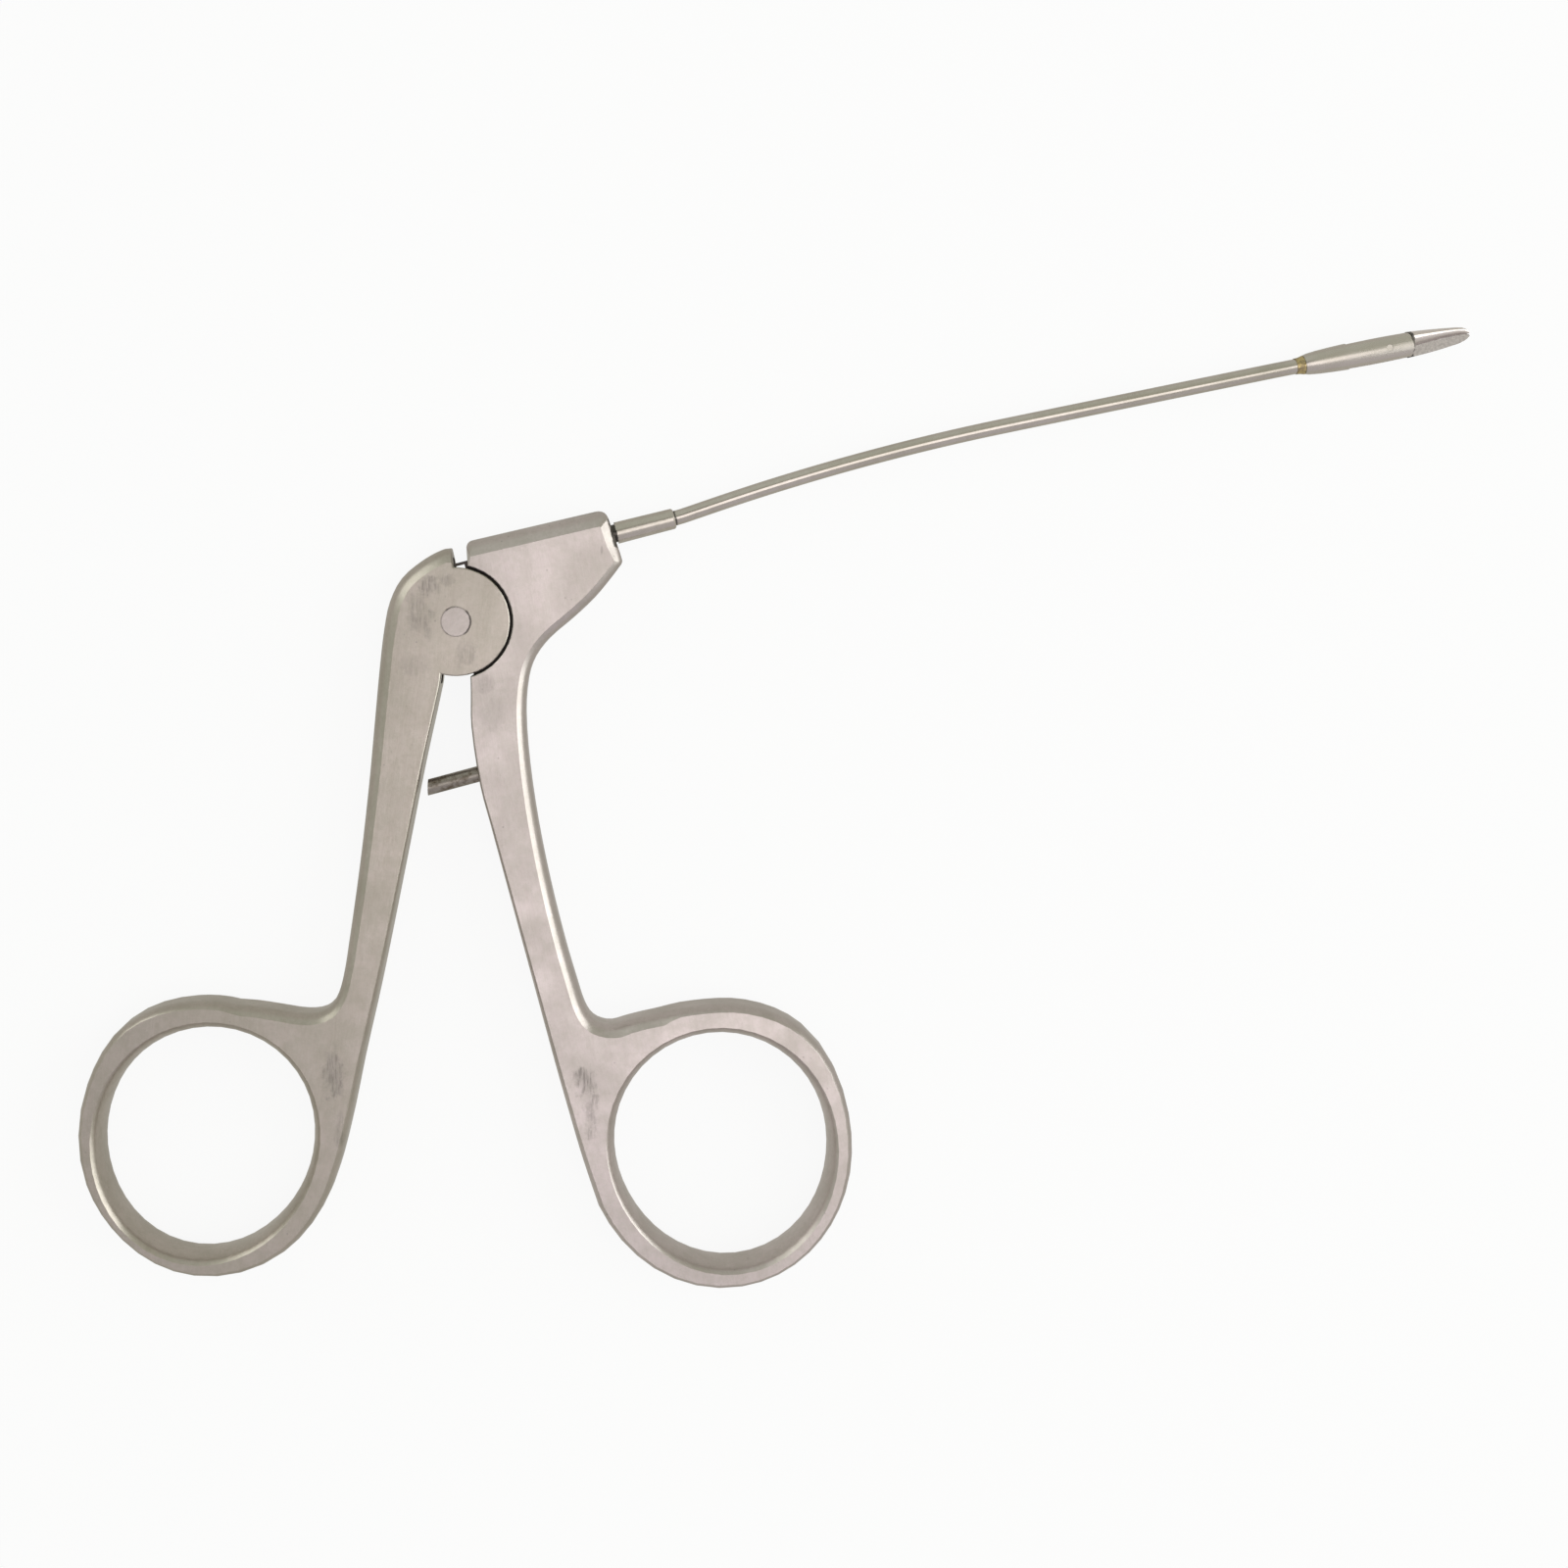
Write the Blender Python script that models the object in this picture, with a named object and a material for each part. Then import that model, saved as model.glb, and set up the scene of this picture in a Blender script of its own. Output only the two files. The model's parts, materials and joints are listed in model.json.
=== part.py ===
"""Ear scissors: two finger-ring handles, a bent shaft tube and two small blades.

The instrument lies flat. +X runs from the handles to the blade tips, +Z is up out of the
underside, and the origin is on the handle pivot at the underside. Squeezing the rings turns
the rear handle about its pivot, which draws a wire back through the tube and closes the
blades. All sizes below are in millimetres and angles in degrees; the meshes are in metres.
"""
import math

import bmesh
import bpy
from mathutils import Matrix, Vector

MM = 0.001

# Handles
THICKNESS = 5.0
MIDDLE = THICKNESS / 2
HUB_RADIUS = 4.93
HUB_GAP = 0.2
# Ring holes as mean radius, then height and crest angle of an oval wave and of a three-lobed wave
RING_HOLE_LEFT = (9.98, 0.36, 71.7, 0.09, 22.1)
RING_CENTRE_LEFT = (-22.74, -47.2)
RING_HOLE_RIGHT = (10.11, 0.37, -76.7, 0.09, 43.4)
RING_CENTRE_RIGHT = (24.22, -47.88)
# Width of the ring's rim at an angle round it, in the order of the outline
RIM_LEFT = (
    (78, 2.33), (96, 2.54), (125, 2.96), (155, 2.34), (200, 1.88), (230, 1.65), (265, 2.0), (305, 2.6),
    (338, 2.65),
)
RIM_RIGHT = (
    (205, 2.77), (240, 2.59), (278, 2.21), (310, 2.06), (340, 2.1), (375, 2.2), (415, 2.92), (440, 2.77),
    (462, 2.55),
)
RING_INNER_ROUND = (0.75, 2.1)
RING_OUTER_ROUND = (0.55, 1.6)
SHARP_EDGE = (0.12, 0.12)
# Edges of the arms as x, y points down from the hub, then into the ring
REAR_BACK_EDGE = (
    (-0.54, 6.7), (-1.3, 6.58), (-3.05, 5.65), (-5.05, 3.95), (-6.15, 1.8), (-6.65, -0.6), (-7.05, -4.0),
    (-7.55, -9.5), (-8.05, -15.0), (-8.85, -22.1), (-9.85, -29.3), (-10.4, -32.6), (-11.05, -34.45),
    (-12.1, -35.45), (-13.8, -35.7), (-16.0, -35.4), (-18.3, -35.05),
)
REAR_INNER_EDGE = (
    (-10.5, -49.0), (-9.45, -44.6), (-8.55, -40.1), (-6.95, -32.9), (-4.8, -22.1),
    (-3.05, -13.1), (-1.5, -5.9),
)
FRONT_INNER_EDGE = (
    (1.36, -6.4), (1.4, -9.5), (2.2, -14.9), (3.15, -18.5), (4.6, -23.9), (7.5, -34.7), (8.95, -40.1),
    (10.1, -44.2), (11.2, -48.0), (11.9, -50.2),
)
FRONT_OUTER_EDGE = (
    (19.4, -35.3), (17.0, -36.05), (15.2, -36.6), (13.7, -36.7), (12.5, -36.25), (11.7, -35.1), (11.0, -33.0),
    (9.9, -29.3), (8.55, -23.9), (7.45, -18.5), (6.65, -13.1), (6.3, -8.3), (6.55, -5.1),
    (7.2, -3.2), (8.55, -1.45), (10.7, 0.4), (12.6, 2.2), (14.1, 4.0), (15.0, 5.2),
)
NOSE_CORNER = (15.1, 5.55)
# Share of the way up the nose where its front face gets straight
NOSE_STRAIGHT = 0.33
# Peaks of the housing's top edge before they are rounded, and how far each rounding reaches
NOSE_PEAK = (13.54, 10.27)
NOSE_PEAK_REACH = 1.0
REAR_PEAK = (0.93, 7.33)
REAR_PEAK_REACH = 0.6
HOUSING_REAR_ANGLE = 78.0
SHOULDER_ANGLE = 92.5
REAR_ARM_ANGLE = -106.0
FRONT_ARM_ANGLE = -75.0
# Roundings as in-plane width and depth, at the start and end of each edge
BACK_ROUND = ((1.35, 1.9), (0.75, 1.5))
OUTER_ROUND = ((1.0, 1.7), (0.85, 1.4))
HOUSING_ROUND = (1.5, 2.2)
NOSE_ROUND = (0.95, 0.8)
# Slope of a rounding where it meets the flat side, which leaves a ground edge there
EDGE_SLOPE = 0.42
# Size of a rounded corner on the flat side, as a share of the same corner in the outline
CORNER_SHARE = 0.15
# Sine of the turn below which two edges of different rounding blend, rather than meet in a corner
SOFT_TURN = 0.5
REAR_FACE_ROUND = (0.3, 0.6)
SLOPE_ROUND = (0.7, 0.9)

# Pivot joint
PIVOT_DIAMETER = 2.65
FIT = 0.02
RUN = 0.05
SLOT_REACH = 0.92
TONGUE_THICKNESS = 1.9
TONGUE_COVER = 0.34
# Root of the tongue in the front handle: its depth, its margins as angles, and its reach forward
TONGUE_ROOT = 0.8
TONGUE_ARM_MARGIN = 6.0
TONGUE_HOUSING_MARGIN = 14.0
TONGUE_TOP_MARGIN = 10.0
TONGUE_HEEL = 2.0
TONGUE_FRONT = 4.5
POCKET_DEPTH = 0.9

# Stop pin between the arms
STOP_DIAMETER = 1.45
STOP_TIP = (-2.7, -15.25)
STOP_ANGLE = 15.0
STOP_EXPOSED = 4.85
STOP_SUNK = 2.6
STOP_CLEAR = 0.5

# Shaft axis and its path
AXIS_ANGLE = 14.2
AXIS_OFFSET = 4.28
COLLAR_START = 16.1
COLLAR_LENGTH = 5.51
COLLAR_WALL = 0.3
COLLAR_FRONT_WALL = 0.245
COLLAR_BEVEL = 0.14
SPIGOT_WALL = 0.13
SPIGOT_DEPTH = 3.0
# How far inside the collar's front end the tube's bend begins
BEND_INSIDE = 0.2
KICK_ANGLE = 19.5
KICK_LENGTH = 1.6
SWEEP_ANGLE = 11.55
SWEEP_LENGTH = 30.7
STRAIGHT_LENGTH = 23.4
HEAD_ANGLE = 10.9
SETTLE_LENGTH = 4.0
TUBE_DIAMETER = 1.4
TUBE_BORE = 0.9
WIRE_DIAMETER = 0.44
WIRE_BORE = 1.1

# Wire end in the hub
HANDLE_OPEN = 12.5
HANDLE_CLOSE = 2.0
ANCHOR_DIAMETER = 0.8
ANCHOR_PLAY = 0.08
BLOCK_WIDTH = 1.24
BLOCK_REAR = 0.95
BLOCK_FRONT = 1.25
WINDOW_MARGIN = 0.15

# Head at the far end of the tube, measured from the blade pivot
RIM_RADIUS = 2.35
RIM_OVERLAP = 0.2
RIM_HALF_ANGLE = 50.0
HEAD_REAR = 7.6
SOCKET_DEPTH = 1.7
CHAMBER_DIAMETER = 1.72
CHAMBER_FRONT = 1.12
CHAMBER_LENGTH = 4.5
# Distance behind the blade pivot, and the wall outside the tube's socket
HEAD_PROFILE = ((7.6, 0.14), (7.2, 0.25), (6.3, 0.35), (5.0, 0.43), (3.3, 0.5), (1.4, 0.53), (0.2, 0.53))
HEAD_RIM_WALL = 0.49
HEAD_SLOT = 1.0
HEAD_SLOT_REAR = 3.6
BRAZE_LENGTH = 0.75
BRAZE_HEIGHT = 0.16
BRAZE_FEATHER = 0.03
BRAZE_WAIST = 0.4
BLADE_PIN_DIAMETER = 0.6

# Blades
BLADE_GAP = 0.06
TANG_THICKNESS = 0.42
BLADE_PLAY = 0.03
ROOT_GAP = 0.06
BLADE_OPEN = 20.0
DRIVE_PIN_DIAMETER = 0.36
DRIVE_PIN_BACK = 2.7
DRIVE_PIN_LENGTH = 1.4
YOKE_DIAMETER = 1.48
YOKE_FRONT = 0.35
YOKE_THROAT = 1.8
YOKE_REAR = 2.6
YOKE_SLOT = 1.06
BLADE_ROOT_HEIGHT = 1.0
BLADE_TIP_HEIGHT = 0.42
# Shares of a blade's length at its sections, and how its height drops at the tip
BLADE_STATIONS = (0.0, 0.12, 0.3, 0.5, 0.68, 0.8, 0.89, 0.95, 1.0)
TIP_LEAST = 0.35
TIP_RISE = 6.0
UPPER_BACK = ((2.3, 1.18), (4.6, 0.98), (6.7, 0.74), (7.35, 0.6), (7.7, 0.4), (7.9, 0.12))
UPPER_EDGE = ((2.3, -0.22), (3.7, -0.13), (5.5, 0.04), (6.9, 0.04), (7.6, 0.0), (7.88, -0.02))
LOWER_BACK = ((2.3, -1.18), (3.9, -1.1), (5.3, -0.97), (6.8, -0.78), (7.55, -0.56), (7.95, -0.26))
LOWER_EDGE = ((2.3, -0.05), (3.7, 0.04), (5.5, 0.18), (6.8, 0.16), (7.6, 0.06), (7.93, -0.14))
# Section of a blade: share of its width from the cutting edge, share of its height
BLADE_SECTION = ((0.0, 0.03), (0.16, 0.36), (0.32, 0.8), (0.5, 0.97), (0.66, 1.0), (0.83, 0.82), (1.0, 0.34))
TANG_OUTLINE = (
    (3.5, 0.3), (3.4, 0.7), (1.2, 1.02), (-1.3, 1.02), (-2.3, 0.76), (-3.1, 0.36), (-3.32, -0.1),
    (-3.12, -0.5), (-2.3, -0.56), (-1.2, -0.66), (-0.3, -0.95), (1.0, -0.95), (1.9, -0.6), (2.25, 0.22),
)

# Facets, and how far cutters run on past the metal
ARC_STEP = 6.0
RIM_ARC_STEP = 5.0
ROUND_STEPS = 4
CORNER_STEPS = 5
# Cosine of the least angle that a rounding spans, for edges that are nearly plain bevels
MOST_FLAT = 0.95
ROUND_SIDES = 32
SMALL_SIDES = 20
WIRE_SIDES = 12
RING_SIDES = 48
CURVE_STEPS = 3
RIM_STEPS = 4
SHORT_STEPS = 2
PATH_STEP = 0.5
PATH_STOPS = (3, 10, 4, 3)
CAM_STOPS = 12
OVERRUN = 1.0


def direction(angle):
    return Vector((math.cos(math.radians(angle)), math.sin(math.radians(angle))))


def arc(radius, start, end, step=ARC_STEP):
    count = max(2, math.ceil(abs(end - start) / step))
    return [radius * direction(start + (end - start) * i / count) for i in range(count + 1)]


def curve_through(points, steps=CURVE_STEPS):
    """A smooth curve through the points, with a few steps between each two."""
    knots = [Vector(p) for p in points]
    knots = [2 * knots[0] - knots[1]] + knots + [2 * knots[-1] - knots[-2]]
    out = []
    for p0, p1, p2, p3 in zip(knots, knots[1:], knots[2:], knots[3:]):
        reach = (p2 - p1).length
        tangent_1 = (p2 - p0) / max((p2 - p0).length, 1e-9) * reach
        tangent_2 = (p3 - p1) / max((p3 - p1).length, 1e-9) * reach
        for i in range(steps):
            t = i / steps
            out.append(
                (2 * t**3 - 3 * t**2 + 1) * p1 + (t**3 - 2 * t**2 + t) * tangent_1
                + (3 * t**2 - 2 * t**3) * p2 + (t**3 - t**2) * tangent_2)
    return out + [knots[-2]]


def value_at(pairs, x):
    """The value at x on straight lines through x, value pairs."""
    for (x0, y0), (x1, y1) in zip(pairs, pairs[1:]):
        if x <= x1:
            return y0 + (y1 - y0) * max(0.0, x - x0) / (x1 - x0)
    return pairs[-1][1]


def hole_radius(hole, angle):
    """Radius of a finger ring's hole at an angle round it."""
    mean, oval, oval_angle, lobes, lobe_angle = hole
    oval_wave = oval * math.cos(2 * math.radians(angle - oval_angle))
    return mean + oval_wave + lobes * math.cos(3 * math.radians(angle - lobe_angle))


def rim_points(centre, hole, rim):
    """The outside of a finger ring, from the rim's width at a few angles."""
    widths = curve_through(rim, RIM_STEPS)
    return [Vector(centre) + (hole_radius(hole, a) + width) * direction(a) for a, width in widths]


def hole_points(centre, hole):
    angles = [360 * i / RING_SIDES for i in range(RING_SIDES)]
    return [Vector(centre) + hole_radius(hole, a) * direction(a) for a in angles]


def rounded_run(points, start, end=None):
    """Points of one edge with a rounding's width and depth that change evenly along it."""
    end = end or start
    travelled = [0.0]
    for a, b in zip(points, points[1:]):
        travelled.append(travelled[-1] + (b - a).length)
    total = travelled[-1]
    return [
        (p, start[0] + (end[0] - start[0]) * s / total, start[1] + (end[1] - start[1]) * s / total)
        for p, s in zip(points, travelled)]


def join_runs(runs):
    """One closed rim from edge runs that share their end points, with each point's inset and depth."""
    corners = []
    for before, run in zip([runs[-1]] + runs[:-1], runs):
        corners.append((run[0][0], before[-1][1], run[0][1], max(before[-1][2], run[0][2])))
        corners += [(p, width, width, depth) for p, width, depth in run[1:-1]]
    rim = []
    for i, (p, width_in, width_out, depth) in enumerate(corners):
        way_in = (p - corners[i - 1][0]).normalized()
        way_out = (corners[(i + 1) % len(corners)][0] - p).normalized()
        side_in = Vector((-way_in.y, way_in.x))
        side_out = Vector((-way_out.y, way_out.x))
        turn = side_in.x * side_out.y - side_in.y * side_out.x
        if abs(turn) < SOFT_TURN:
            inset = (side_in + side_out).normalized() * (width_in + width_out) / 2
        else:
            inset = Vector((
                (width_in * side_out.y - width_out * side_in.y) / turn,
                (width_out * side_in.x - width_in * side_out.x) / turn))
        rim.append((p, inset, depth))
    return rim


def round_corner(rim, peak, reach):
    """Rounds one corner of a rim, which keeps a much smaller corner on the flat side."""
    i = min(range(len(rim)), key=lambda k: (rim[k][0] - Vector(peak)).length)
    p, inset, _ = rim[i]
    before, after = rim[i - 1], rim[(i + 1) % len(rim)]
    start = p + (before[0] - p).normalized() * reach
    end = p + (after[0] - p).normalized() * reach
    corner = []
    for k in range(CORNER_STEPS + 1):
        t = k / CORNER_STEPS
        point = (1 - t)**2 * start + 2 * t * (1 - t) * p + t**2 * end
        flat_point = p + inset + CORNER_SHARE * (point - p)
        corner.append((point, flat_point - point, before[2] + (after[2] - before[2]) * t))
    rim[i:i + 1] = corner


def rounding(width, depth):
    """Shares of inset and depth at the steps of an elliptical rounding that ends in a ground edge."""
    last = math.acos(min(MOST_FLAT, EDGE_SLOPE * width / max(depth - EDGE_SLOPE * width, 1e-6)))
    angles = [last * i / ROUND_STEPS for i in range(ROUND_STEPS + 1)]
    return [((1 - math.cos(a)) / (1 - math.cos(last)), 1 - math.sin(a) / math.sin(last)) for a in angles]


def rounded_plate(bm, rims):
    """A plate of the handles' thickness with elliptical roundings along its rims."""
    top_edges, bottom_edges = [], []
    for rim in rims:
        columns = []
        for p, inset, depth in rim:
            steps = [(p + share * inset, depth * sink) for share, sink in rounding(inset.length, depth)]
            column = [(*at, THICKNESS - sink) for at, sink in reversed(steps)]
            columns.append([bm.verts.new(place) for place in column + [(*at, sink) for at, sink in steps]])
        loops = list(zip(*columns))
        for upper, lower in zip(loops, loops[1:]):
            for i in range(len(rim)):
                j = (i + 1) % len(rim)
                bm.faces.new((upper[i], lower[i], lower[j], upper[j]))
        for loop, edges in ((loops[0], top_edges), (loops[-1], bottom_edges)):
            edges += [bm.edges.get((loop[i], loop[i - 1])) for i in range(len(loop))]
    bmesh.ops.triangle_fill(bm, edges=top_edges, use_beauty=True, normal=(0, 0, 1))
    bmesh.ops.triangle_fill(bm, edges=bottom_edges, use_beauty=True, normal=(0, 0, -1))


def extrude_outline(bm, outline, low, high):
    """A flat-faced solid from an outline that runs anticlockwise."""
    lower = [bm.verts.new((x, y, low)) for x, y in outline]
    upper = [bm.verts.new((x, y, high)) for x, y in outline]
    bm.faces.new(reversed(lower))
    bm.faces.new(upper)
    for i in range(len(outline)):
        j = (i + 1) % len(outline)
        bm.faces.new((lower[i], lower[j], upper[j], upper[i]))


def revolve(bm, profile, sides):
    """A turned solid about X from along, radius pairs of a closed profile."""
    loops = []
    for along, radius in profile:
        if radius < 1e-6:
            loops.append([bm.verts.new((along, 0, 0))] * sides)
            continue
        loops.append([
            bm.verts.new((along, radius * math.cos(a), radius * math.sin(a)))
            for a in (2 * math.pi * i / sides for i in range(sides))])
    for first, second in zip(loops, loops[1:] + loops[:1]):
        for i in range(sides):
            j = (i + 1) % sides
            corners = list(dict.fromkeys((first[i], first[j], second[j], second[i])))
            if len(corners) > 2:
                bm.faces.new(corners)


def sweep(bm, path, radius, sides, bore=0.0):
    """A rod or tube whose middle follows path points that carry their heading."""
    def skin(size):
        loops = []
        for point, heading in path:
            side = direction(heading + 90)
            loops.append([
                bm.verts.new((*(point + side * size * math.cos(a)), size * math.sin(a)))
                for a in (2 * math.pi * i / sides for i in range(sides))])
        for first, second in zip(loops, loops[1:]):
            for i in range(sides):
                bm.faces.new((first[i], first[i - 1], second[i - 1], second[i]))
        return loops
    outer = skin(radius)
    if not bore:
        bm.faces.new(outer[0])
        bm.faces.new(reversed(outer[-1]))
        return
    inner = skin(bore)
    for end in (0, -1):
        for i in range(sides):
            bm.faces.new((outer[end][i], outer[end][i - 1], inner[end][i - 1], inner[end][i]))


def placed(bm, angle=0.0, at=(0.0, 0.0), height=0.0):
    """Turns a shape to an angle and moves it to a place in the plan."""
    bm.transform(Matrix.Translation((at[0], at[1], height)) @ Matrix.Rotation(math.radians(angle), 4, "Z"))


def steel(name, colour, roughness, metallic=1.0):
    material = bpy.data.materials.new(name)
    material.use_nodes = True
    shader = material.node_tree.nodes["Principled BSDF"]
    shader.inputs["Base Color"].default_value = (*colour, 1)
    shader.inputs["Roughness"].default_value = roughness
    shader.inputs["Metallic"].default_value = metallic
    material.diffuse_color = (*colour, 1)
    return material


def joint_empty(name, at, angle=0.0):
    """An empty on a joint's axis, which carries the pieces that the joint moves."""
    empty = bpy.data.objects.new(name, None)
    empty.empty_display_size = 2 * MM
    place = Matrix.Translation((at[0] * MM, at[1] * MM, MIDDLE * MM))
    empty.matrix_world = place @ Matrix.Rotation(math.radians(angle), 4, "Z")
    bpy.context.collection.objects.link(empty)
    return empty


def make_object(name, bm, material=None, parent=None):
    """Ends a shape modelled in place: scales it to metres and hangs it on its parent."""
    bmesh.ops.recalc_face_normals(bm, faces=bm.faces)
    bm.transform(Matrix.Scale(MM, 4))
    if parent:
        bm.transform(parent.matrix_world.inverted())
    mesh = bpy.data.meshes.new(name)
    bm.to_mesh(mesh)
    bm.free()
    obj = bpy.data.objects.new(name, mesh)
    bpy.context.collection.objects.link(obj)
    if parent:
        obj.parent = parent
    if material:
        mesh.materials.append(material)
        mesh.shade_smooth()
        mesh.set_sharp_from_angle(angle=math.radians(35))
    return obj


def apply_shape(target, name, bm, operation="DIFFERENCE"):
    """Cuts a shape from a piece, or joins it on, with a Boolean modifier."""
    other = make_object(name, bm)
    other.hide_render = True
    other.display_type = "WIRE"
    modifier = target.modifiers.new(name, "BOOLEAN")
    modifier.operation = operation
    modifier.object = other


def cylinder(radius, low, high, sides, at=(0.0, 0.0)):
    """An upright cylinder at a place in the plan."""
    bm = bmesh.new()
    outline = [Vector(at) + radius * direction(360 * i / sides) for i in range(sides)]
    extrude_outline(bm, outline, low, high)
    return bm


def socket_radius():
    """Radius of the bores that take the tube."""
    return TUBE_DIAMETER / 2 + FIT


def axis_point(along, across=0.0):
    """A point of the shaft axis, from the foot of the pivot's perpendicular on it."""
    return direction(AXIS_ANGLE + 90) * (AXIS_OFFSET + across) + direction(AXIS_ANGLE) * along


def axis_box(rear, front, half):
    """A rectangle along the shaft axis, run anticlockwise."""
    corners = ((rear, -half), (front, -half), (front, half), (rear, half))
    return [axis_point(along, across) for along, across in corners]


def anchor_along():
    """Where the wire's anchor pin lies on the axis, so that its swing is even about the foot."""
    return -AXIS_OFFSET * math.tan(math.radians((HANDLE_OPEN - HANDLE_CLOSE) / 2))


def wire_travel(handle_angle):
    """How far the wire slides forward when the rear handle turns by an angle."""
    middle = (HANDLE_OPEN - HANDLE_CLOSE) / 2
    reach = AXIS_OFFSET / math.cos(math.radians(middle))
    half = math.radians((HANDLE_OPEN + HANDLE_CLOSE) / 2)
    return -reach * math.sin(half) / half * math.radians(handle_angle)


def bend_start():
    return COLLAR_START + COLLAR_LENGTH - BEND_INSIDE


def shaft_path(start, end):
    """Points and headings of the wire's middle line between two distances along it."""
    marks = [(bend_start(), AXIS_ANGLE)]
    for length, heading in (
            (KICK_LENGTH, KICK_ANGLE), (SWEEP_LENGTH, SWEEP_ANGLE),
            (STRAIGHT_LENGTH, SWEEP_ANGLE), (SETTLE_LENGTH, HEAD_ANGLE)):
        marks.append((marks[-1][0] + length, heading))
    stops = sorted({round(start, 6), round(end, 6)} | {
        round(stop, 6)
        for (s0, _), (s1, _), steps in zip(marks, marks[1:], PATH_STOPS)
        for stop in [s0 + (s1 - s0) * i / steps for i in range(steps + 1)]
        if start < stop < end})
    point = axis_point(0)
    path = []
    travelled = 0.0
    for stop in stops:
        count = max(1, math.ceil((stop - travelled) / PATH_STEP))
        for i in range(count):
            middle = travelled + (stop - travelled) * (i + 0.5) / count
            point = point + direction(value_at(marks, middle)) * (stop - travelled) / count
        travelled = stop
        path.append((point, value_at(marks, stop)))
    return path


def head_distance():
    """Distance along the path to the head's rear face."""
    return bend_start() + KICK_LENGTH + SWEEP_LENGTH + STRAIGHT_LENGTH + SETTLE_LENGTH


def blade_pivot():
    return shaft_path(0.0, head_distance() + HEAD_REAR)[-1][0]


def front_handle(material):
    """The handle that carries the shaft: housing, arm and right ring, with its tongue."""
    rear_foot = (HUB_RADIUS + HUB_GAP) * direction(HOUSING_REAR_ANGLE)
    outer = curve_through(FRONT_OUTER_EDGE)
    ring = rim_points(RING_CENTRE_RIGHT, RING_HOLE_RIGHT, RIM_RIGHT)
    bite = arc(HUB_RADIUS + HUB_GAP, HOUSING_REAR_ANGLE, FRONT_ARM_ANGLE)
    inner = curve_through([bite[-1]] + [Vector(p) for p in FRONT_INNER_EDGE] + [ring[0]])
    nose_peak, rear_peak = Vector(NOSE_PEAK), Vector(REAR_PEAK)
    straight = Vector(NOSE_CORNER).lerp(nose_peak, NOSE_STRAIGHT)
    shoulder = curve_through([outer[-1], Vector(NOSE_CORNER), straight], SHORT_STEPS)
    runs = [
        rounded_run([rear_peak, rear_foot], REAR_FACE_ROUND, SHARP_EDGE),
        rounded_run(bite, SHARP_EDGE),
        rounded_run(inner, SHARP_EDGE, RING_OUTER_ROUND),
        rounded_run(ring, RING_OUTER_ROUND),
        rounded_run(curve_through([ring[-1], outer[0]], SHORT_STEPS), RING_OUTER_ROUND),
        rounded_run(outer, OUTER_ROUND[0], SLOPE_ROUND),
        rounded_run(shoulder, SLOPE_ROUND, NOSE_ROUND),
        rounded_run([shoulder[-1], nose_peak], NOSE_ROUND),
        rounded_run([nose_peak, rear_peak], HOUSING_ROUND),
    ]
    rim = join_runs(runs)
    round_corner(rim, nose_peak, NOSE_PEAK_REACH)
    round_corner(rim, rear_peak, REAR_PEAK_REACH)
    hole = hole_points(RING_CENTRE_RIGHT, RING_HOLE_RIGHT)
    bm = bmesh.new()
    rounded_plate(bm, [rim, ring_hole(hole)])
    handle = make_object("front_handle", bm, material)
    apply_shape(handle, "front_tongue", tongue(), "UNION")
    hole_radius = PIVOT_DIAMETER / 2 + RUN
    pivot_hole = cylinder(hole_radius, -OVERRUN, THICKNESS + OVERRUN, ROUND_SIDES)
    apply_shape(handle, "tongue_pivot_hole", pivot_hole)
    apply_shape(handle, "tongue_window", window())
    front = COLLAR_START + OVERRUN
    apply_shape(handle, "wire_bore", axis_bore(WIRE_BORE / 2, anchor_along() + BLOCK_FRONT, front))
    counterbore = axis_bore(socket_radius() + SPIGOT_WALL + FIT, COLLAR_START - SPIGOT_DEPTH, front)
    apply_shape(handle, "collar_bore", counterbore)
    apply_shape(handle, "stop_pin_bore", stop_shape(STOP_DIAMETER / 2 + FIT, STOP_CLEAR, STOP_SUNK + 2 * FIT))
    return handle


def ring_hole(points):
    """A finger ring's hole as a rim, run clockwise so that its inset points into the metal."""
    points = list(reversed(points))
    run = [(p, *RING_INNER_ROUND) for p in points]
    return join_runs([run + [run[0]]])


def tongue():
    """The middle tongue of the front handle, which the rear handle's fork turns about."""
    low = MIDDLE - TONGUE_THICKNESS / 2
    rim = HUB_RADIUS - RUN
    root = HUB_RADIUS + HUB_GAP + TONGUE_ROOT
    cover = WIRE_BORE / 2 + TONGUE_COVER
    back = anchor_along() - BLOCK_REAR - WINDOW_MARGIN - abs(wire_travel(HANDLE_CLOSE)) - TONGUE_COVER
    # The rim begins where the tongue's rear edge, square to the axis, meets it
    rim_start = AXIS_ANGLE + math.degrees(math.acos(back / rim))
    outline = arc(rim, rim_start, 360 + FRONT_ARM_ANGLE + TONGUE_HEEL)
    # The root ends below the tongue's top edge and in front of the housing's rear face
    top_crossing = AXIS_ANGLE + math.degrees(math.asin(min(1.0, (AXIS_OFFSET + cover) / root)))
    root_end = min(HOUSING_REAR_ANGLE - TONGUE_HOUSING_MARGIN, top_crossing - TONGUE_TOP_MARGIN)
    outline += arc(root, FRONT_ARM_ANGLE + TONGUE_ARM_MARGIN, root_end)
    outline += [axis_point(TONGUE_FRONT, cover), axis_point(back, cover)]
    bm = bmesh.new()
    extrude_outline(bm, outline, low, low + TONGUE_THICKNESS)
    return bm


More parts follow.
